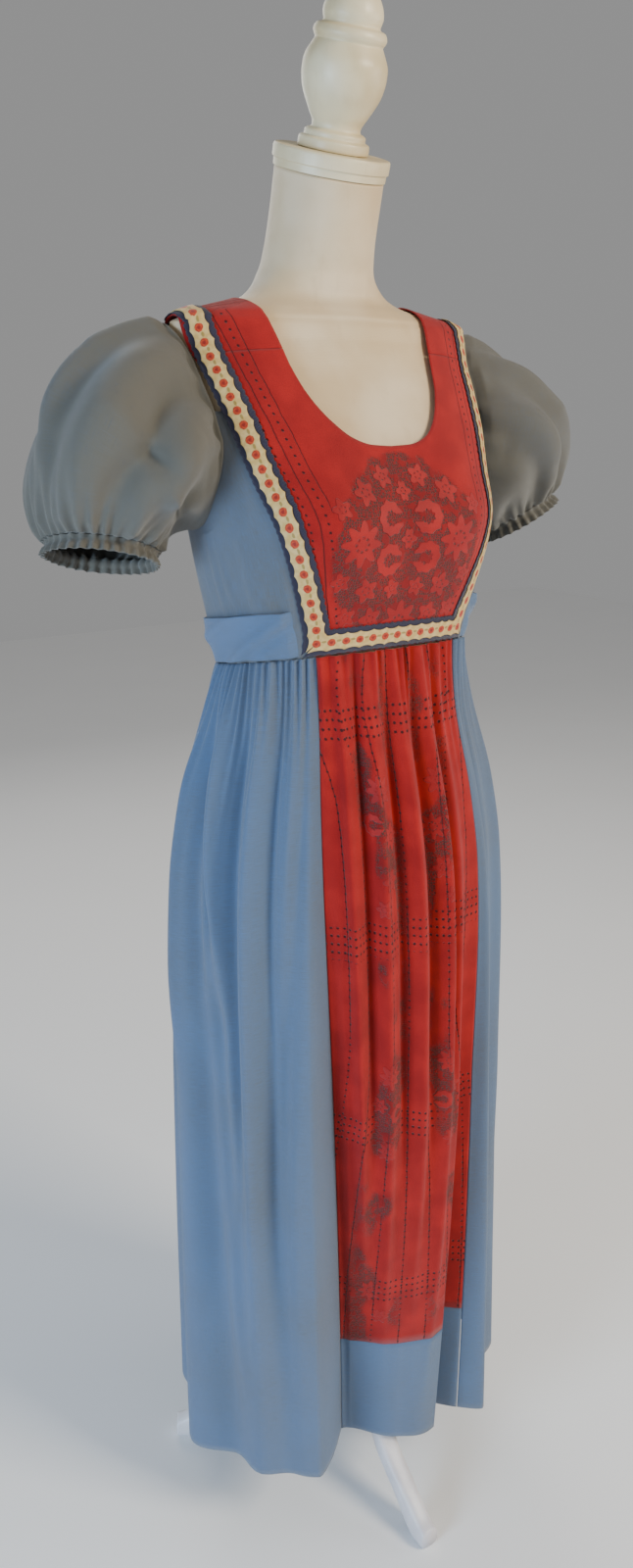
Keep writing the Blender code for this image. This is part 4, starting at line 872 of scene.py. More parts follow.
# Folds of the sleeve as lines from (turn, down) to (turn, down): turn in degrees from the top by the
# front, down as a share from armhole to cuff, with the half width and the height, negative for a trough
SleeveFold = namedtuple("SleeveFold", "turn_a down_a turn_b down_b width height")
SLEEVE_FOLDS = {
    "right": (
        SleeveFold(26, 0.03, 48, 0.50, 0.11, 0.0120), SleeveFold(48, 0.50, 40, 0.92, 0.10, 0.0110),
        SleeveFold(50, 0.06, 76, 0.52, 0.075, -0.0170), SleeveFold(76, 0.52, 64, 0.90, 0.065, -0.0140),
        SleeveFold(8, 0.10, 18, 0.72, 0.080, -0.0100), SleeveFold(18, 0.72, 24, 0.97, 0.07, -0.0070),
        SleeveFold(2, 0.30, 4, 0.70, 0.100, 0.0090), SleeveFold(84, 0.14, 98, 0.60, 0.085, 0.0120),
        SleeveFold(98, 0.60, 84, 0.95, 0.070, 0.0080), SleeveFold(112, 0.10, 122, 0.60, 0.080, -0.0110),
        SleeveFold(-30, 0.05, -20, 0.60, 0.12, -0.0100), SleeveFold(-60, 0.05, -50, 0.80, 0.12, 0.0090),
        SleeveFold(-100, 0.10, -90, 0.90, 0.12, -0.0090), SleeveFold(150, 0.1, 140, 0.9, 0.12, -0.0070),
        SleeveFold(-140, 0.1, -135, 0.9, 0.12, 0.0070), SleeveFold(-6, 0.66, -2, 0.97, 0.06, -0.0070),
    ),
    "left": (
        SleeveFold(20, 0.02, 40, 0.60, 0.11, 0.0105), SleeveFold(40, 0.60, 50, 0.96, 0.09, 0.0096),
        SleeveFold(4, 0.08, 18, 0.75, 0.10, -0.0123), SleeveFold(44, 0.10, 66, 0.70, 0.09, -0.0114),
        SleeveFold(66, 0.05, 84, 0.80, 0.09, 0.0096), SleeveFold(92, 0.15, 100, 0.95, 0.08, -0.0088),
        SleeveFold(-20, 0.05, -12, 0.70, 0.12, 0.0096), SleeveFold(-50, 0.05, -45, 0.85, 0.12, -0.0105),
        SleeveFold(-85, 0.05, -80, 0.85, 0.12, 0.0088), SleeveFold(-120, 0.1, -115, 0.9, 0.12, -0.0088),
        SleeveFold(150, 0.1, 140, 0.9, 0.12, 0.0070), SleeveFold(70, 0.70, 62, 0.98, 0.06, -0.0079),
    ),
}


def by_place(turn, top, sides, bottom):
    """A value that changes round the sleeve from its top by its sides to its bottom."""
    c = np.cos(turn)
    return sides + (top - bottom) / 2 * c + ((top + bottom) / 2 - sides) * c * c


def cuff_frame(sleeve):
    """The cuff's middle, and its directions outwards, forwards and up its axis."""
    centre = np.array([sleeve.side * sleeve.cuff_x, -0.003, sleeve.cuff_z])
    out = unit(np.array([sleeve.side, 0.0, sleeve.rise_out]))
    forward = np.array([0.0, -1.0, sleeve.rise_front])
    forward = unit(forward - out * forward.dot(out))
    up = np.cross(out, forward)
    return centre, out, forward, up * np.sign(up[2])


def ring_normals(rows, centre):
    """Outward normals of a stack of closed rings."""
    along = np.roll(rows, -1, axis=1) - np.roll(rows, 1, axis=1)
    normal = unit(np.cross(along, np.gradient(rows, axis=0)))
    return normal * np.sign((normal * (rows - centre)).sum())


def uneven(turn, count, seed):
    """A wave of count gathers round a ring, whose spacing and height drift a little from place to place."""
    drift = 0.55 * np.sin(3 * turn + seed) + 0.35 * np.sin(7 * turn + 2.1 * seed)
    height = 0.80 + 0.20 * np.sin(5 * turn + 1.7 * seed)
    return height * (0.5 + 0.5 * np.cos(count * turn + drift))


def fold_sum(table, turn, down, size):
    """Heights of all folds: each falls off from its line as exp(-(distance / half width)^2), where a
    turn of one radian counts as size down."""
    total = np.zeros(np.broadcast(turn, down).shape)
    for fold in table:
        ax, ay = math.radians(fold.turn_a) * size, fold.down_a
        bx, by = math.radians(fold.turn_b) * size, fold.down_b
        x = (np.mod(turn - math.radians(fold.turn_a) + math.pi, 2 * math.pi) - math.pi) * size + ax
        length = (bx - ax) ** 2 + (by - ay) ** 2
        t = np.clip(((x - ax) * (bx - ax) + (down - ay) * (by - ay)) / length, 0, 1)
        gone = np.hypot(x - ax - t * (bx - ax), down - ay - t * (by - ay))
        ends = 0.55 + 0.45 * np.sin(math.pi * np.clip(t, 0.08, 0.92))
        total += fold.height * ends * np.exp(-((gone / fold.width) ** 2))
    return total


def sleeve_rows(sleeve, turn, s):
    """Bezier curves from the armhole to the cuff: each leaves outwards and arrives up the cuff's axis.
    Gathers stand at both ends, and the folds lie between."""
    loop = armhole_loop(len(turn))
    normal = outward(loop)
    mirror = np.array([sleeve.side, 1.0, 1.0])
    loop, normal = loop * mirror, normal * mirror
    radial = unit((loop - loop.mean(axis=0)) * np.array([0.0, 1.0, 1.0]))
    lean = np.radians(by_place(turn, sleeve.cap_angle, 42.0, 8.0))[:, None]
    leave = np.array([sleeve.side, 0.0, 0.0]) * np.cos(lean) + radial * np.sin(lean)
    middle, out, forward, up = cuff_frame(sleeve)
    ring = out * np.cos(turn)[:, None] + forward * np.sin(turn)[:, None]
    spread = np.radians(by_place(turn, 34.0, 58.0, 25.0))[:, None]
    arrive = up * np.cos(spread) + ring * np.sin(spread)
    a = loop + normal * SLEEVE_LIFT
    b = a + leave * by_place(turn, sleeve.cap_reach, 0.075, 0.022)[:, None]
    d = middle + ring * (CUFF_RADIUS + 0.0012)
    c = d + arrive * by_place(turn, sleeve.fullness, 0.078, 0.026)[:, None]
    t = s[:, None, None]
    rows = a * (1 - t) ** 3 + 3 * b * t * (1 - t) ** 2 + 3 * c * t * t * (1 - t) + d * t**3
    hub = rows.mean(axis=(0, 1))
    over_cap = np.clip((np.cos(turn) + 0.45) / 0.5, 0, 1)
    down = s[:, None]
    rise = fold_sum(SLEEVE_FOLDS[sleeve.name], turn[None], down, 0.42) * np.sin(math.pi * down) ** 0.35
    left = 1 - down
    at_cap, below_cap = np.exp(-((down / 0.13) ** 1.6)), np.exp(-((down / 0.34) ** 1.5))
    at_cuff, above_cuff = np.exp(-((left / 0.15) ** 1.5)), np.exp(-((left / 0.30) ** 1.4))
    rise += CAP_GATHER * at_cap * (uneven(turn, 16, 0.7) * over_cap)[None]
    rise += CAP_PLEAT * below_cap * np.clip(down / 0.05, 0, 1) * (uneven(turn, 9, 2.2) * over_cap)[None]
    rise += CUFF_GATHER * at_cuff * uneven(turn, 32, 1.9)[None]
    rise += CUFF_PLEAT * above_cuff * np.clip(left / 0.06, 0, 1) * uneven(turn[None] + 0.5 * left, 12, 0.4)
    rows = rows + ring_normals(rows, hub) * rise[..., None]
    flat = np.clip((down - 0.985) / 0.015, 0, 1)[..., None]
    edge = middle + ring * (CUFF_RADIUS + 0.0012 + CUFF_GATHER * uneven(turn, 32, 1.9))[:, None]
    rows = rows * (1 - flat) + edge[None] * flat
    inward = np.array([sleeve.side, 0.0, 0.0]) * (0.0010 + CAP_TURNING * over_cap)[:, None]
    share = np.array([1.0, 0.66, 0.33])[:, None, None]
    turned_in = project((a - inward * share) * mirror) * mirror
    lift = (LIFT + 0.0004) + (SLEEVE_LIFT - LIFT - 0.0004) * (1 - share)
    turned_in = turned_in + outward(turned_in * mirror) * mirror * lift
    return np.concatenate([turned_in, rows], axis=0)


# Sleeve chambray: the most painted shade of any piece.
sleeve_blue = chambray("sleeve_chambray", 0.92)
for sleeve in SLEEVES:
    sleeve_turn = np.arange(384) * 2 * math.pi / 384
    sleeve_down = np.linspace(0, 1, 120)
    rows = sleeve_rows(sleeve, sleeve_turn, sleeve_down)
    sleeve_around, sleeve_along = np.linspace(-0.22, 0.22, 385)[None], np.linspace(0, 0.24, len(rows))
    sleeve_uv = stack(sleeve_around, sleeve_along[:, None], 0)[..., :2]
    sleeve_cloth = cloth_piece(f"puff_{sleeve.name}", rows, sleeve_uv, sleeve_blue, "blue_cotton",
                               rows.mean(axis=(0, 1)),
                               [f"sleeve_{sleeve.name}"], closed=True, wall=0.0010)
    middle, out, forward, up = cuff_frame(sleeve)
    ring = out * np.cos(sleeve_turn)[:, None] + forward * np.sin(sleeve_turn)[:, None]
    share = np.linspace(0, 1, 26)[:, None]
    wave = uneven(sleeve_turn, 32, 1.9)[None]
    pinch = np.sin(math.pi * np.clip(share / 0.62, 0, 1))
    reach = CUFF_RADIUS + 0.0010 + wave * (0.0046 - 0.0022 * pinch) - 0.0012 * pinch
    reach = reach + np.clip((share - 0.62) / 0.38, 0, 1) * (0.0012 + 0.0010 * wave)
    cuff_rows = middle + ring[None] * reach[..., None] - up * (0.0006 + CUFF_HEIGHT * share)[..., None]
    cuff_uv = stack(sleeve_around, share * 0.016, 0)[..., :2]
    cloth_piece(f"frill_{sleeve.name}", cuff_rows, cuff_uv, sleeve_blue, "blue_cotton", middle,
                [f"cuff_{sleeve.name}"], closed=True, wall=0.0010)

# Skirt
# Four gathered panels hang from the empire seam: the red lace front with its blue band, two chambray
# sides and a chambray back. The gathers run together into a few long folds that reach the hem.

HEM_Z = 0.105
SKIRT_MIDDLE = -0.035
SkirtRing = namedtuple("SkirtRing", "height half_width half_depth")
SKIRT = (
    SkirtRing(0.105, 0.208, 0.172), SkirtRing(0.330, 0.208, 0.171), SkirtRing(0.480, 0.207, 0.169),
    SkirtRing(0.620, 0.206, 0.166), SkirtRing(0.760, 0.204, 0.162), SkirtRing(0.870, 0.198, 0.154),
    SkirtRing(0.955, 0.184, 0.140), SkirtRing(1.050, 0.158, 0.117), SkirtRing(1.130, 0.141, 0.103),
)
Fold = namedtuple("Fold", "waist hem reach_middle reach_hem")
FOLDS = (
    Fold(-44.0, -28.0, -0.034, -0.074), Fold(-37.0, -22.0, -0.022, -0.071), Fold(-5.0, 1.0, -0.004, -0.032),
    Fold(27.0, 18.7, 0.003, -0.011), Fold(35.0, 29.0, -0.020, -0.046), Fold(44.0, 33.5, -0.006, -0.004),
    Fold(48.0, 37.0, 0.010, 0.027), Fold(60.0, 53.0, -0.007, -0.006), Fold(73.0, 69.0, 0.012, 0.028),
    Fold(88.0, 86.0, -0.008, -0.010), Fold(104.0, 101.0, 0.010, 0.016), Fold(121.0, 119.0, -0.009, -0.015),
    Fold(138.0, 137.0, 0.009, 0.015), Fold(155.0, 155.0, -0.009, -0.016), Fold(172.0, 173.0, 0.007, 0.012),
    Fold(189.0, 190.0, -0.008, -0.014), Fold(206.0, 206.0, 0.009, 0.015), Fold(223.0, 222.0, -0.009, -0.014),
    Fold(240.0, 238.0, 0.008, 0.012), Fold(256.0, 254.0, -0.008, -0.011), Fold(272.0, 271.0, 0.010, 0.012),
    Fold(286.0, 286.5, -0.008, -0.017), Fold(298.0, 298.5, 0.004, -0.004), Fold(307.0, 309.0, -0.006, -0.013),
    Fold(314.0, 321.0, 0.006, -0.008),
)
SkirtPanel = namedtuple("SkirtPanel", "name start end gathers")
SKIRT_PANELS = (
    SkirtPanel("skirt_front", -44.0, 44.0, 14), SkirtPanel("skirt_side_left", 44.0, 104.0, 18),
    SkirtPanel("skirt_back_left", 104.0, 180.0, 15), SkirtPanel("skirt_back_right", 180.0, 256.0, 15),
    SkirtPanel("skirt_side_right", 256.0, 316.0, 18),
)
BAND_SHARE = 0.845
SKIRT_GATHER, CREASE_GAIN = 0.0060, 1.5
# Creases between the long folds: the waist angle where each starts and ends, the share of the way down at
# both ends, its half width in degrees and its height, negative for a trough
Crease = namedtuple("Crease", "waist_a down_a waist_b down_b width height")
CREASES = (
    Crease(273, 0.10, 284, 0.33, 2.2, -0.0080), Crease(284, 0.33, 289, 0.66, 2.4, -0.0080),
    Crease(311, 0.14, 308, 0.55, 2.2, -0.0060),
    Crease(262, 0.05, 270, 0.45, 2.6, 0.0070), Crease(270, 0.06, 279, 0.40, 2.4, -0.0080),
    Crease(279, 0.40, 281, 0.75, 2.8, -0.0070), Crease(278, 0.05, 286, 0.38, 2.4, 0.0075),
    Crease(286, 0.38, 291, 0.90, 2.8, 0.0060), Crease(287, 0.04, 294, 0.60, 2.2, -0.0080),
    Crease(295, 0.04, 299, 0.85, 2.4, 0.0065), Crease(302, 0.05, 304, 0.70, 1.9, -0.0065),
    Crease(309, 0.04, 310, 0.90, 2.2, 0.0050), Crease(-33, 0.04, -30, 0.70, 2.2, 0.0060),
    Crease(-26, 0.04, -24, 0.55, 2.0, -0.0065), Crease(-18, 0.03, -17, 0.80, 2.6, 0.0060),
    Crease(-9, 0.04, -8, 0.60, 2.2, -0.0070), Crease(0, 0.04, 1, 0.75, 2.8, 0.0055),
    Crease(9, 0.04, 9, 0.55, 2.2, -0.0070), Crease(18, 0.03, 17, 0.85, 2.8, 0.0060),
    Crease(26, 0.04, 25, 0.50, 2.0, -0.0060), Crease(52, 0.04, 54, 0.60, 2.4, -0.0060),
    Crease(66, 0.04, 66, 0.75, 2.6, 0.0065), Crease(80, 0.04, 79, 0.60, 2.4, -0.0060),
    Crease(95, 0.04, 96, 0.80, 2.6, 0.0060), Crease(112, 0.04, 113, 0.55, 2.6, -0.0060),
    Crease(129, 0.04, 130, 0.70, 2.8, 0.0055), Crease(146, 0.04, 146, 0.50, 2.6, -0.0060),
    Crease(163, 0.04, 163, 0.75, 2.8, 0.0055), Crease(181, 0.04, 180, 0.50, 2.6, -0.0055),
    Crease(198, 0.04, 198, 0.70, 2.8, 0.0055), Crease(215, 0.04, 214, 0.60, 2.6, -0.0060),
    Crease(232, 0.04, 231, 0.75, 2.8, 0.0060), Crease(248, 0.04, 248, 0.55, 2.6, -0.0060),
)


def fold_value(name, waist):
    """A column of the fold table at waist angles, going round."""
    table = [*FOLDS, *(row._replace(waist=row.waist + 360, hem=row.hem + 360) for row in FOLDS[:3])]
    table = [row._replace(waist=row.waist - 360, hem=row.hem - 360) for row in FOLDS[-3:]] + table
    return monotone(column(table, "waist"), column(table, name), waist)


def crease_sum(waist, share):
    """Heights of all creases: exp(-(angle / half width)^2), which start and end gently."""
    total = np.zeros(np.broadcast(waist, share).shape)
    for crease in CREASES:
        t = (share - crease.down_a) / (crease.down_b - crease.down_a)
        middle = crease.waist_a + (crease.waist_b - crease.waist_a) * t
        gone = np.mod(waist - middle + 180, 360) - 180
        fade = np.clip((t + 0.15) / 0.35, 0, 1) * np.clip((1.15 - t) / 0.45, 0, 1)
        fade = fade * fade * (3 - 2 * fade)
        total += crease.height * fade * np.exp(-((gone / (crease.width * (1 + 0.5 * share))) ** 2))
    return total


def skirt_at(waist, share, wave):
    """The skirt's outer face below a waist angle, at a share of the way down: an ellipse that widens,
    plus the long folds, the creases, and gathers that fade below the seam."""
    waist, share, wave = np.broadcast_arrays(waist, share, wave)
    seam = waist_around(np.radians(waist[0]))[None]
    z = seam[..., 2] * (1 - share) + HEM_Z * share
    angle = np.radians(waist + (fold_value("hem", waist) - waist) * share**0.8)

    def plain(turn, height):
        wide = monotone(column(SKIRT, "height"), column(SKIRT, "half_width"), height)
        deep = monotone(column(SKIRT, "height"), column(SKIRT, "half_depth"), height)
        return 1 / np.sqrt((np.sin(turn) / wide) ** 2 + (np.cos(turn) / deep) ** 2)

    seam_reach = np.hypot(seam[..., 0], seam[..., 1] - SKIRT_MIDDLE)
    reach = plain(angle, z)
    near_seam = np.exp(-share / 0.05)
    reach = reach + (seam_reach + LIFT - plain(np.radians(waist), seam[..., 2])) * near_seam
    middle, hem = fold_value("reach_middle", waist), fold_value("reach_hem", waist)
    low, high = np.clip(share / 0.5, 0, 1), np.clip((share - 0.5) / 0.5, 0, 1)
    reach = reach + middle * low**1.4 + (hem - middle) * high**1.1
    reach = reach + SKIRT_GATHER * wave * np.exp(-((share / 0.090) ** 1.4))
    reach = reach + CREASE_GAIN * crease_sum(waist, share)
    return stack(reach * np.sin(angle), SKIRT_MIDDLE - reach * np.cos(angle), z)


def gather_wave(waist):
    """One gather to about 3 to 5 degrees of waist, uneven in width and height."""
    place = np.interp(waist, [-44, 44, 104, 256, 316], [0, 14, 32, 62, 80])
    drift = 0.30 * np.sin(place * 0.9) + 0.22 * np.sin(place * 2.3 + 1.0)
    height = 0.78 + 0.22 * np.sin(place * 1.7 + 0.6)
    return height * (0.5 - 0.5 * np.cos(2 * math.pi * (place + drift * 0.5)))


SKIRT_MOTIFS = (
    Motif("flower", 0.052, 0.985, 0.0170, 8), Motif("flower", 0.040, 0.935, 0.0150, 8),
    Motif("ring", 0.066, 0.950, 0.0120, 0), Motif("flower", 0.048, 0.890, 0.0125, 6),
    Motif("flower", 0.060, 0.860, 0.0100, 6), Motif("flower", 0.052, 0.660, 0.0160, 8),
    Motif("flower", 0.066, 0.620, 0.0110, 6), Motif("ring", 0.040, 0.610, 0.0120, 0),
    Motif("flower", 0.050, 0.560, 0.0140, 8), Motif("flower", 0.056, 0.350, 0.0150, 8),
    Motif("flower", 0.042, 0.310, 0.0110, 6),
)


def skirt_ground(finish, side, tall):
    """Net shows in patches round the clusters of flowers."""
    patch = finish.noise(finish.join(side * 1.2, tall * 0.6), 15.0, 2.0)
    column_mask = ((side - 0.052).math("ABSOLUTE") - 0.030).step(0.012, -0.012)
    return patch.step(0.50, 0.56) * column_mask


def skirt_tucks(finish, side, tall):
    """Upright stitched lines at both sides of each band."""
    near = ((side * (1.0 / 0.034)).math("FRACT") - 0.5).math("ABSOLUTE") * 0.034
    patchy = finish.noise(finish.join(side * 3.0, tall), 6.0).step(0.40, 0.50)
    return (near - 0.0004).step(0.0004, -0.0002) * patchy


def skirt_eyelets(finish, side, tall):
    """Upright rows of eyelets, and level rows across where the lace repeats."""
    upright = eyelets(finish, side, tall, 0.034, 0.0085, 0.0012)
    repeat = ((tall * (1.0 / 0.235)).math("FRACT") - 0.5).math("ABSOLUTE") * 0.235
    level = eyelets(finish, side, tall, 0.0070, 0.0095, 0.0015) * (repeat - 0.019).step(0.001, -0.001)
    return upright.math("MAXIMUM", level)


skirt_lace = lace_finish("skirt_lace", SKIRT_MOTIFS, skirt_ground, skirt_tucks, skirt_eyelets)
# Skirt chambray: little painted shade.
skirt_blue = chambray("skirt_chambray", 0.42)
skirt_share = np.concatenate([np.linspace(0, 0.16, 44), np.linspace(0.165, 1, 96)])
skirt_hub = (0.0, SKIRT_MIDDLE, 0.6)
SEAM_EDGE = 0.06
for panel in SKIRT_PANELS:
    waist = np.linspace(panel.start + SEAM_EDGE, panel.end - SEAM_EDGE, panel.gathers * 10 + 1)
    shares = [(panel.name, skirt_share, skirt_blue, "blue_cotton")]
    if panel.name == "skirt_front":
        upper = np.append(skirt_share[skirt_share < BAND_SHARE - 0.004], BAND_SHARE - 0.0002)
        lower = np.linspace(BAND_SHARE + 0.0002, 1, 20)
        shares = [(panel.name, upper, skirt_lace, "red_lace"),
                  ("skirt_front_band", lower, skirt_blue, "blue_cotton")]
    for name, down, finish, slot in shares:
        grid = skirt_at(waist[None], down[:, None], gather_wave(waist)[None])
        grid[..., 2] -= 0.0014 * np.clip(1 - down / 0.01, 0, 1)[:, None]
        spread = spread_uv(grid)
        spread[..., 1] = grid[..., 2]
        cloth_piece(f"{name}_cloth", grid, spread, finish, slot, skirt_hub, [name])

# Sash and bow
# A folded chambray sash is caught in the seam beside each trim and ties in a bow at the back. It lies on
# the bodice just above the empire seam, with a slanting crease where it was pulled tight.

SASH_LIFT, SASH_UNDER_TRIM = 0.0066, 0.0032
SASH_WIDTH = 0.047
KNOT_HALF_WIDTH, KNOT_HEIGHT, KNOT_DEPTH = 0.0140, 0.030, 0.018
BOW_Z = 1.112
LOOP_REACH, LOOP_DEPTH, LOOP_ROOT_HALF, LOOP_HALF = 0.074, 0.016, 0.011, 0.024
TAIL_GATHERS, TAIL_END = 8.0, 0.36


def sash_grid(side):
    """Strips of the waist line at heights across the sash, drawn together towards the knot. Three slanting
    creases run along it."""
    share, up = np.linspace(0, 1, 150)[None], np.linspace(0, 1, 30)[:, None]
    first, last = np.radians(50.5 + 2.5 * up), math.pi - math.radians(7.6)
    angle = first + (last - first) * share
    seam = waist_around(angle)
    draw = np.clip((share - 0.72) / 0.28, 0, 1) ** 1.5
    height = 0.0025 + SASH_WIDTH * up
    height = height + (SASH_WIDTH / 2 + (height - SASH_WIDTH / 2) * 0.5 - height) * draw
    points = around(angle, seam[..., 2] + height)
    slant = 0.0038 * np.exp(-(((up - 0.95 + 3.4 * share) / 0.16) ** 2))
    slant -= 0.0022 * np.exp(-(((up - 0.70 + 3.4 * share) / 0.14) ** 2))
    slant += 0.0024 * np.exp(-(((up - 1.35 + 1.6 * share) / 0.12) ** 2))
    soft = 0.0012 * np.sin(9 * share + 5 * up) * np.sin(math.pi * up)
    tucked = np.clip(share / 0.035, 0, 1)
    lift = SASH_UNDER_TRIM + (SASH_LIFT + slant + soft - SASH_UNDER_TRIM) * tucked
    return (points + outward(points) * lift[..., None]) * np.array([side, 1.0, 1.0])


def back_y(x, z=BOW_Z):
    origin = stack(x, SKIRT_MIDDLE, z)
    return hit(origin, stack(0.0 * np.asarray(x), 1.0, 0.0))[..., 1]


# Sash chambray: the least painted shade.
sash_blue = chambray("sash_chambray", 0.34)
for side, hand in ((1.0, "left"), (-1.0, "right")):
    strip = sash_grid(side)
    cloth_piece(f"sash_cloth_{hand}", strip, spread_uv(strip), sash_blue, "blue_cotton", (0, -0.03, 1.13),
                [f"sash_{hand}"], wall=0.0016)

    s, w = np.linspace(0, 1, 90)[:, None], np.linspace(-1, 1, 28)[None]
    sweep = np.sin(math.pi * s)
    loop_x = KNOT_HALF_WIDTH + 0.0006 + LOOP_REACH * sweep + 0 * w
    loop_y = back_y(loop_x) + SASH_LIFT + 0.0032 + LOOP_DEPTH * (1 - np.cos(math.pi * s)) / 2
    half = LOOP_ROOT_HALF + (LOOP_HALF - LOOP_ROOT_HALF) * sweep**0.7
    pleat = 0.0016 * np.cos(3.5 * math.pi * w) * (1 - sweep) ** 0.8
    loop = stack(side * loop_x, loop_y + pleat, BOW_Z - 0.010 * sweep + half * w)
    hub = (side * (KNOT_HALF_WIDTH + LOOP_REACH * 0.55), float(back_y(np.array([0.05]))[0]) + 0.012, BOW_Z)
    cloth_piece(f"bow_loop_{hand}", loop, spread_uv(loop), sash_blue, "blue_cotton", hub,
                [f"sash_loop_{hand}"], wall=0.0014)

    rows, columns = np.linspace(0.0, TAIL_END, 110)[:, None], np.linspace(0, TAIL_GATHERS, 26)[None]
    spacing = 152.0 / 60.0
    aside = (1.4 + 1.6 * rows / TAIL_END + columns * (1 - 0.2 * rows / TAIL_END)) * spacing
    lift = 0.0075 + 0.004 * np.cos(rows * 22) ** 2 * rows / TAIL_END
    lift = 0.0016 + (lift - 0.0016) * np.clip(rows / 0.10, 0, 1) + 0.0058
    lift = lift + 0.0012 * np.cos(columns * 1.9) * np.exp(-rows / 0.10)
    tail = skirt_at(180.0 - side * (aside[:1] + 0 * aside), 0.012 + rows + 0 * columns, 0.0)
    base = stack(tail[..., 0], tail[..., 1], tail[..., 2])
    turn = np.radians(180.0 - side * aside)
    reach = np.hypot(base[..., 0], base[..., 1] - SKIRT_MIDDLE) + lift
    tail = stack(reach * np.sin(turn), SKIRT_MIDDLE - reach * np.cos(turn), base[..., 2])
    cloth_piece(f"bow_tail_{hand}", tail, spread_uv(tail), sash_blue, "blue_cotton", (0, -0.03, 0.9),
                [f"sash_tail_{hand}"], wall=0.0014)

knot_ends = back_y(np.zeros(3), BOW_Z + KNOT_HEIGHT * np.array([-0.5, 0.0, 0.5]))
knot_depth = KNOT_DEPTH + LOOP_DEPTH
knot_y = float(knot_ends.max()) + LIFT + 0.0006 + knot_depth / 2
knot_turn = np.arange(72) * 2 * math.pi / 72
knot_size = (np.abs(np.cos(knot_turn)) ** 3.5 + np.abs(np.sin(knot_turn)) ** 3.5) ** (-1 / 3.5)
knot_up = np.linspace(-1, 1, 40)[:, None]
knot_round = (1 - np.abs(knot_up) ** 3.2) ** (1 / 2.6) * 0.97 + 0.03
knot_wrap = 1 - 0.05 * np.cos(5 * math.pi * knot_up + 2 * np.sin(knot_turn)[None])
knot_rows = stack(
    KNOT_HALF_WIDTH * 0.94 * np.sin(knot_turn) * knot_size * knot_round * knot_wrap,
    knot_y - knot_depth / 2 * 0.94 * np.cos(knot_turn) * knot_size * knot_round * knot_wrap,
    BOW_Z + KNOT_HEIGHT / 2 * knot_up + 0 * knot_turn)
knot_uv = stack(np.linspace(0, 0.09, 73)[None], knot_up * 0.015, 0)[..., :2]
knot_mesh = surface("knot", knot_rows, knot_uv, (0.0, knot_y, BOW_Z), closed=True, ends=True)
add_piece("bow_knot", knot_mesh, sash_blue, "blue_cotton", "sash_knot")

# Trims
# A navy woven braid with small scallops is sewn over the yoke's seams, mitred at the two lower corners.
# On it lies a cream ribbon with pointed edges, woven with a rosebud and leaves every 15 mm.

BRAID_HALF, RIBBON_HALF = 0.0140, 0.0074
REPEAT = 0.0150
MITRE_REACH = 0.035
TRIM_ABOVE_WAIST = 0.0145
TRIM_TOP = SHOULDER_SEAM


def braid_finish():
    """Navy thread: a fine herringbone along the braid."""
    finish = Finish("navy_braid", 0.70, sheen=0.2, specular=0.35)
    u, v, _ = finish.parts(finish.cloth())
    weave = ((v + u.math("ABSOLUTE")) * (2 * math.pi / 0.0016)).math("SINE")
    tone = finish.noise(finish.cloth(), 220.0, 2.0)
    lit = weave.step(-0.6, 0.9) * 0.6 + tone * 0.3
    colour = finish.mix(lit, (0.010, 0.009, 0.022), (0.040, 0.034, 0.085))
    finish.feed("Base Color", colour)
    finish.feed("Roughness", 0.62 + 0.2 * tone)
    finish.relief(weave, 0.00025)
    return finish.material


def rosebud_finish():
    """Cream ribbon: on each repeat a red-orange bud of two tones, with olive leaves between the buds and
    a fine rib across the weave."""
    finish = Finish("rosebud_ribbon", 0.50, sheen=0.1, specular=0.4)
    cloth = finish.cloth()
    u, v, _ = finish.parts(cloth)
    wobble = (finish.noise(cloth, 420.0, 2.0) - 0.5) * 0.0016
    place = ((v * (1.0 / REPEAT) + 0.5).math("FRACT") - 0.5) * REPEAT
    radius = ((u * u * 1.15 + place * place).math("SQRT")) + wobble
    bud = (radius - 0.0042).step(0.0004, -0.0004)
    heart = (radius - 0.0017).step(0.0005, -0.0005)
    swirl = ((finish.node("ShaderNodeMath", {"operation": "ARCTAN2"}, {0: u, 1: place}) * 3.0)
             + radius * 2600.0).math("SINE").step(0.1, 0.7)
    between = REPEAT / 2 - place.math("ABSOLUTE")
    leaf = ((between * 0.75) * (between * 0.75) + (u - 0.0014) * (u - 0.0014) * 2.2).math("SQRT") + wobble
    leaf = (leaf - 0.0019).step(0.0005, -0.0005)
    rib = (v * (2 * math.pi / 0.0007)).math("SINE")
    tone = finish.noise(cloth, 160.0, 3.0)
    colour = finish.mix(tone.step(0.3, 0.7), (0.580, 0.380, 0.120), (0.700, 0.510, 0.220))
    colour = finish.mix(leaf * 0.75, colour, (0.250, 0.170, 0.030))
    colour = finish.mix(bud, colour, (0.560, 0.060, 0.014))
    colour = finish.mix(bud * (swirl * 0.7).math("MAXIMUM", heart), colour, (0.270, 0.012, 0.006))
    finish.feed("Base Color", colour)
    finish.feed("Roughness", 0.46 + 0.14 * tone)
    finish.relief(bud * 1.2 + leaf * 0.7 + rib * 0.18, 0.0004)
    return finish.material


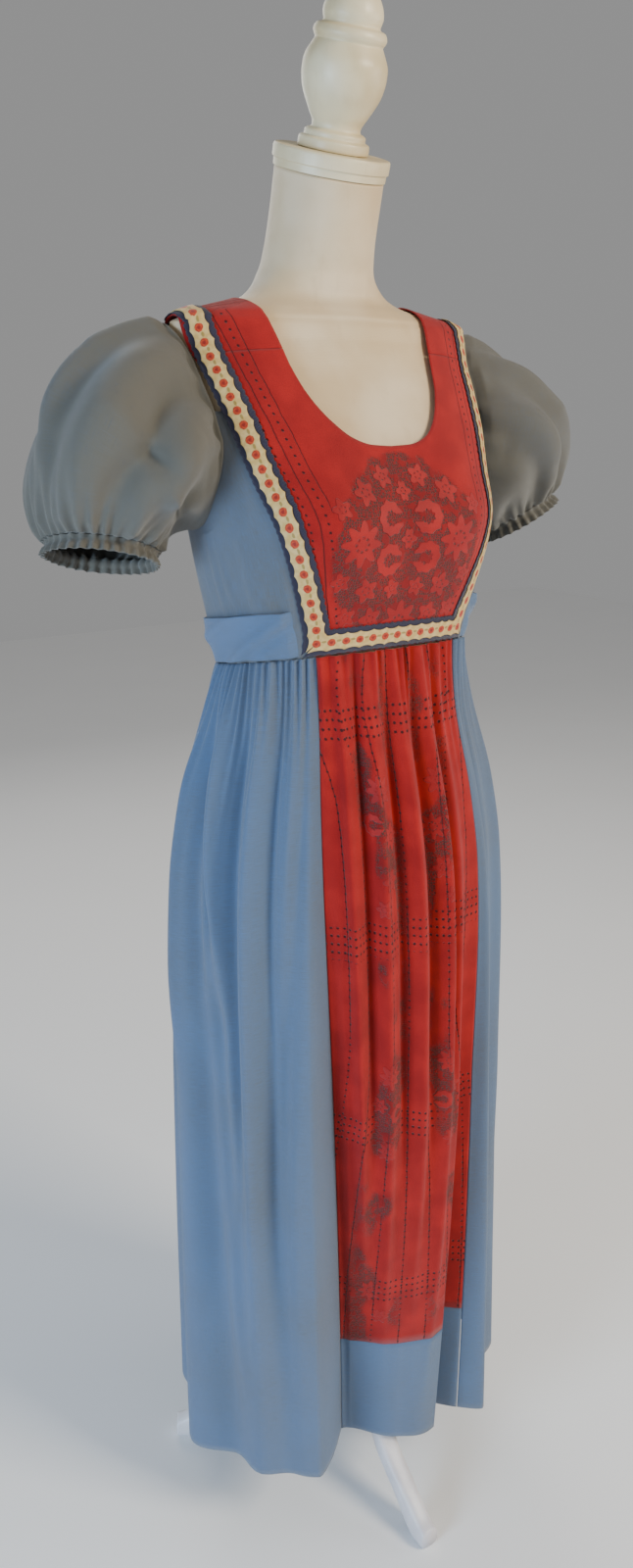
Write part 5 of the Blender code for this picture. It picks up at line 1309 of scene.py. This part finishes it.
def trim_strip(line, half, edge, lift, columns, skew):
    """A strip along a line of surface points. Half is its half width, edge(along) widens it where the
    outline stands out, and skew(across) gives how far each column starts before the line's first point."""
    length = np.concatenate([[0], np.cumsum(np.linalg.norm(np.diff(line, axis=0), axis=1))])
    normals = outward(line)
    ahead = unit(np.gradient(line, axis=0))
    aside = unit(np.cross(normals, ahead))
    share = np.linspace(-1, 1, columns)[None]
    count = int(length[-1] / 0.0009)
    along = np.linspace(0, length[-1], count)[:, None]
    across = share * (half + edge(along))
    first, last = skew(across)
    near_first = np.clip(1 - along / MITRE_REACH, 0, 1)
    near_last = np.clip(1 - (length[-1] - along) / MITRE_REACH, 0, 1)
    along = along + first * near_first + last * near_last
    middle = np.stack([np.interp(along, length, line[:, k]) for k in range(3)], axis=-1)
    over = (along - np.clip(along, 0, length[-1]))[..., None]
    middle = middle + np.where(over < 0, ahead[0], ahead[-1]) * over
    side = np.stack([np.interp(along, length, aside[:, k]) for k in range(3)], axis=-1)
    points = project(middle + side * across[..., None])
    return lifted(points, lift), np.stack([across + 0 * along, along + 0 * across], axis=-1)


def pointed(along):
    """The ribbon's outline: points stand out at each repeat, with hollow curves between."""
    near = np.abs(2 * np.mod(along / REPEAT + 0.5, 1) - 1)
    return 0.0020 * (1 - near) ** 2.2


def scalloped(along):
    return 0.0005 * np.cos(2 * math.pi * along / 0.0075) - 0.0006


braid_cloth, ribbon_cloth = braid_finish(), rosebud_finish()
corner_path = float(waist_front(np.array([TRIM_CORNER_X]))[0]) + TRIM_ABOVE_WAIST
upright_path = np.linspace(corner_path, TRIM_TOP, 220)
upright = over_shoulder(trim_x(upright_path), upright_path)
corner_x = float(trim_x(corner_path))
foot_x = np.linspace(-corner_x, corner_x, 160)
foot = over_shoulder(foot_x, waist_front(foot_x) + TRIM_ABOVE_WAIST)
for kind, half, outline, lift, columns, finish, slot in (
        ("braid", BRAID_HALF, scalloped, 0.0041, 15, braid_cloth, "navy_braid"),
        ("ribbon", RIBBON_HALF, pointed, 0.0054, 15, ribbon_cloth, "rosebud_ribbon")):
    for side, hand in ((1.0, "left"), (-1.0, "right")):
        grid, trim_uv = trim_strip(upright, half, outline, lift, columns, lambda across: (across, 0.0))
        cloth_piece(f"{kind}_strip_{hand}", grid * np.array([side, 1.0, 1.0]), trim_uv, finish, slot,
                    BODICE_HUB, [f"{kind}_{hand}"],
                    wall=0.0008)
    grid, trim_uv = trim_strip(foot, half, outline, lift, columns, lambda across: (across, -across))
    cloth_piece(f"{kind}_strip_bottom", grid, trim_uv, finish, slot, BODICE_HUB,
                [f"{kind}_bottom"], wall=0.0008)

# Floor and light
# A pale matt floor, a broad warm light from the front, and cool window light low on the wearer's right.


def floor_finish():
    """Pale matt floor with a very faint mottle."""
    finish = Finish("floor_paint", 0.85, specular=0.2)
    tone = finish.noise(finish.place(), 3.0, 3.0)
    finish.feed("Base Color", finish.mix(tone, (0.90, 0.90, 0.90), (0.93, 0.93, 0.93)))
    return finish.material


floor_mesh = bpy.data.meshes.new("floor")
floor_z = -0.0006
floor_corners = [(-6, -6, floor_z), (6, -6, floor_z), (6, 6, floor_z), (-6, 6, floor_z)]
floor_mesh.from_pydata(floor_corners, [], [(0, 1, 2, 3)])
floor = bpy.data.objects.new("floor", floor_mesh)
bpy.context.scene.collection.objects.link(floor)
floor_mesh.materials.append(floor_finish())


def soft_light(name, place, target, size, power, colour):
    lamp = bpy.data.lights.new(name, "AREA")
    lamp.shape = "SQUARE"
    lamp.size = size
    lamp.energy = power
    lamp.color = colour
    stand = bpy.data.objects.new(name, lamp)
    stand.location = place
    line = np.array(target) - np.array(place)
    turn = math.atan2(line[0], -line[1])
    drop = math.atan2(math.hypot(line[0], line[1]), -line[2])
    stand.rotation_euler = (drop, 0.0, turn + math.pi)
    bpy.context.scene.collection.objects.link(stand)


soft_light("warm_front", (1.4, -2.6, 2.6), (0.0, 0.0, 1.1), 1.1, 112.0, (1.0, 0.90, 0.74))
soft_light("window", (-2.6, -0.7, 1.0), (0.0, 0.0, 0.8), 1.1, 74.0, (0.56, 0.76, 1.0))
soft_light("window_right", (2.4, -1.2, 1.4), (0.0, 0.0, 1.0), 1.2, 18.0, (0.80, 0.88, 1.0))
soft_light("behind", (0.4, 2.6, 2.4), (0.0, 0.0, 1.2), 1.6, 22.0, (1.0, 0.97, 0.93))

world = bpy.data.worlds.new("room")
bpy.context.scene.world = world
world.use_nodes = True
world.node_tree.nodes["Background"].inputs["Color"].default_value = (1.0, 1.0, 1.0, 1.0)
world.node_tree.nodes["Background"].inputs["Strength"].default_value = 0.30
